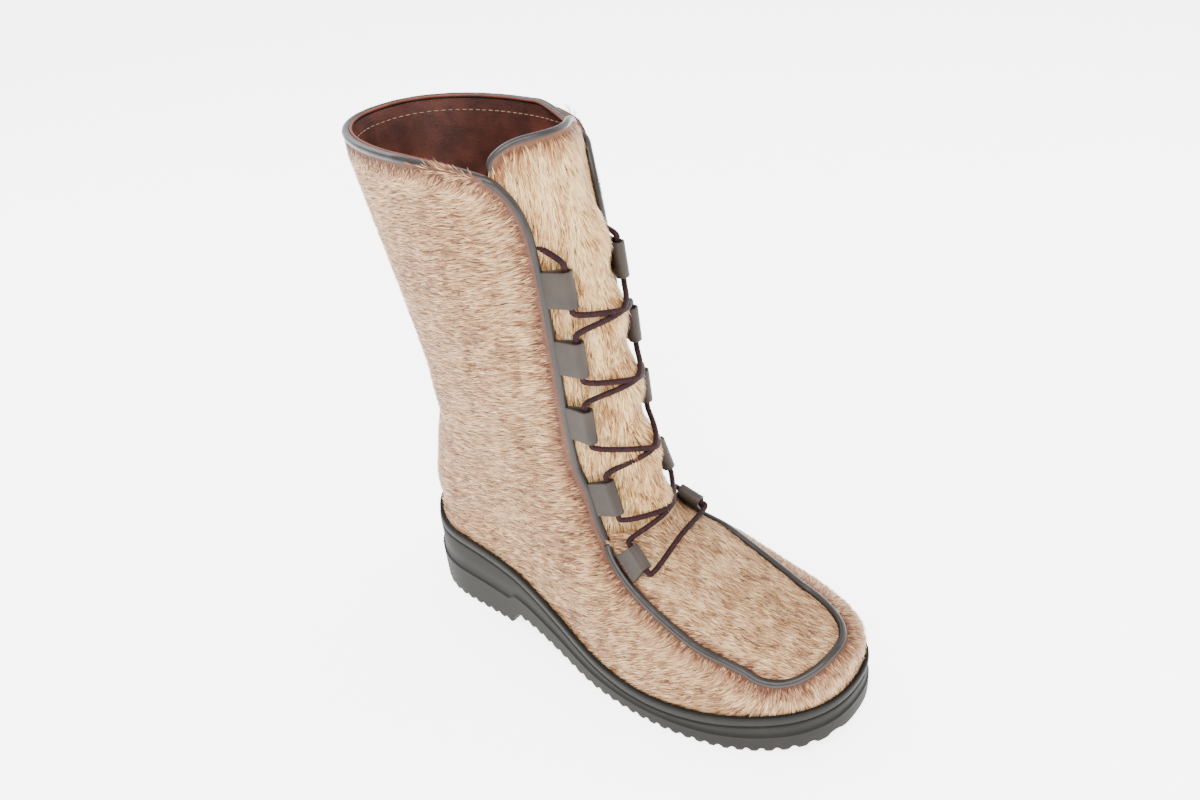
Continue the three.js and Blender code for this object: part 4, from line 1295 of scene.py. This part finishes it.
def makeHideHair():
    rng = np.random.default_rng(11)
    total = hair["outerShaft"] + hair["innerShaft"] + hair["band"] + hair["plug"]
    roots = scatter(hideGrid, int(total * 1.75), rng, closed=True)
    normals = slopeAt(roots)
    routes = np.vstack([edgePath, plugPath])
    seam = nearest(roots, routes)
    apart = np.linalg.norm(roots - seam, axis=1)
    lip = lipTop(roots[:, 1])
    keep = (roots[:, 2] > lip - 0.5) & (roots[:, 2] < collarHeight - 1) & (apart > piping["radius"] - 0.5)
    plugged = inPlug(roots)
    keep &= ~inThroat(roots, 1.0) | plugged
    roots, normals, seam, apart, plugged = (v[keep] for v in (roots, normals, seam, apart, plugged))
    lip = lip[keep]
    away = unit(roots - seam)
    along = alongAt(roots[:, 1])
    lean = (roots[:, 2] - seams["low"]) / (seams["topUp"] - seams["low"])
    band = ~plugged & (along > seams["lowAlong"] + (seams["topAlong"] - seams["lowAlong"]) * lean)
    shaft = ~plugged & ~band
    flat = unit(np.cross(normals, [0.0, 0.0, 1.0]))
    back = flat * np.where(flat[:, 1:2] >= 0, 1, -1)
    shaftWay = back + np.array([0, 0, -0.12])
    toeward = ramp(along, 0.82, 0.95)[:, None]
    bandWay = back * (1 - toeward) + away * (0.35 + toeward) + np.array([0, 0, -0.15])
    ways = np.where(band[:, None], bandWay, shaftWay)
    ways = np.where(plugged[:, None], np.array([0.08, -1.0, 0.0]), ways)
    close = np.exp(-(apart / hair["seamReach"]) ** 2)
    turned = (close * np.where(plugged, 0.25, 1.0))[:, None]
    ways = unit(ways) * (1 - turned) + away * turned * 1.4
    toward = np.maximum(0.12, 0.15 - (unit(ways) * away).sum(-1))
    lengths = hair["length"] * (1 - 0.3 * close)
    lengths = np.minimum(lengths, (apart - 0.5 * piping["radius"]) / toward / 1.3)
    loose = 0.3 + 0.7 * ramp(apart, 3, 12)
    drop = np.maximum(0.05, -unit(ways)[:, 2])
    lengths = np.minimum(lengths, (roots[:, 2] - lip + 2.2) / drop)
    reds = np.exp(-((apart - piping["radius"]) / hair["rootReach"]) ** 2) * np.where(plugged, 0.35, 0.95)
    reds += 0.8 * np.exp(-((roots[:, 2] - lip) / 1.8) ** 2)
    tones = hair["tone"] + 0.06 * ripple(roots, hair["patch"])
    tones += 0.1 * ripple(roots * [1, 0.5, 1], hair["streak"])
    tones += 0.2 * ripple(roots * [1, 0.2, 1], hair["tuft"]) + rng.normal(0, hair["mixed"], len(roots))
    reds *= rng.uniform(0.25, 1.35, len(roots))
    tones += 0.14 * np.exp(-((apart - hair["paleAt"]) / hair["paleReach"]) ** 2)
    outer = roots[:, 0] < 0
    groups = (
        ("hairOuterShaft", shaft & outer, hair["outerShaft"]),
        ("hairInnerShaft", shaft & ~outer, hair["innerShaft"]),
        ("hairBand", band, hair["band"]),
        ("hairPlug", plugged, hair["plug"]),
    )
    for name, chosen, most in groups:
        pick = np.flatnonzero(chosen)[:most]
        print(name, chosen.sum(), "roots found")
        some = (v[pick] for v in (roots, normals, ways, lengths, reds, tones, loose))
        blades(name, hideHair, "hide", rng, *some)


makeHideHair()


def makeTongueHair():
    rng = np.random.default_rng(12)
    roots = scatter(tongueFace, hair["tongue"] * 2, rng, closed=False)
    samples = tongueFace.reshape(-1, 3)
    down = np.gradient(tongueFace, axis=0)
    across = np.gradient(tongueFace, axis=1)
    surface = unit(np.cross(down, across)).reshape(-1, 3)
    surface *= np.sign((surface * slopeAt(samples)).sum(-1, keepdims=True))
    index = np.empty(len(roots), int)
    for start in range(0, len(roots), 2000):
        some = roots[start:start + 2000]
        index[start:start + 2000] = ((some[:, None] - samples[None]) ** 2).sum(-1).argmin(1)
    normals = surface[index]
    covered = np.abs(roots[:, 0]) > throatEdge(roots[:, 2]) + 1.0
    rim = np.vstack([tongueMiddle[:60, 0], tongueMiddle[0], tongueMiddle[:60, -1]])
    apart = np.linalg.norm(roots - nearest(roots, rim), axis=1)
    keep = (~covered | (roots[:, 2] > collarHeight - last["collarRound"])) & (apart > tongue["piping"])
    keep &= (roots[:, 2] > last["throatFoot"] - 4)
    roots, normals, apart = roots[keep][:hair["tongue"]], normals[keep], apart[keep]
    normals, apart = normals[:len(roots)], apart[:len(roots)]
    ways = np.tile([0.1, -0.05, -1.0], (len(roots), 1))
    ways[:, 0] += 0.006 * roots[:, 0]
    reds = np.exp(-((apart - tongue["piping"]) / 5) ** 2) * 0.95 * (0.5 + 0.5 * np.sin(roots[:, 0] * 1.3))
    reds += 0.5 * np.exp(-((apart - tongue["piping"]) / 2.2) ** 2)
    tones = 0.6 + 0.08 * ripple(roots, 30) + 0.2 * ripple(roots * [1, 1, 0.4], 4)
    tones += 0.2 * ripple(roots * [1, 1, 0.2], 0.8) + rng.normal(0, 0.22, len(roots))
    reds *= rng.uniform(0.4, 1.3, len(roots))
    lengths = np.full(len(roots), 8.5)
    loose = np.full(len(roots), 1.2)
    blades("hairTongue", tongueHair, "tongue_hide", rng, roots, normals, ways, lengths, reds, tones, loose)


makeTongueHair()


# Side seams of the band, in pale thread, from the foot of the throat down to the sole
def makeSideSeams():
    parts = []
    for side in (-1, 1):
        share = np.linspace(0, 1, 40)
        along = seams["topAlong"] + (seams["lowAlong"] - seams["topAlong"]) * share
        y = yAt(along)
        high = seams["topUp"]
        z = high + (lipTop(y[-1]) + 1 - high) * share
        start = vec(0 * y, y, z)
        route = cast(start, vec(side * 1.0, 0, 0), -0.7)
        parts += stitchRow(route, slopeAt(route), 3.4, 0.3, seams["radius"])
    points, faces = joinParts(parts)
    place(meshFrom("sideSeams", points, faces, [thread]), "hide")


makeSideSeams()

print("boot ready")
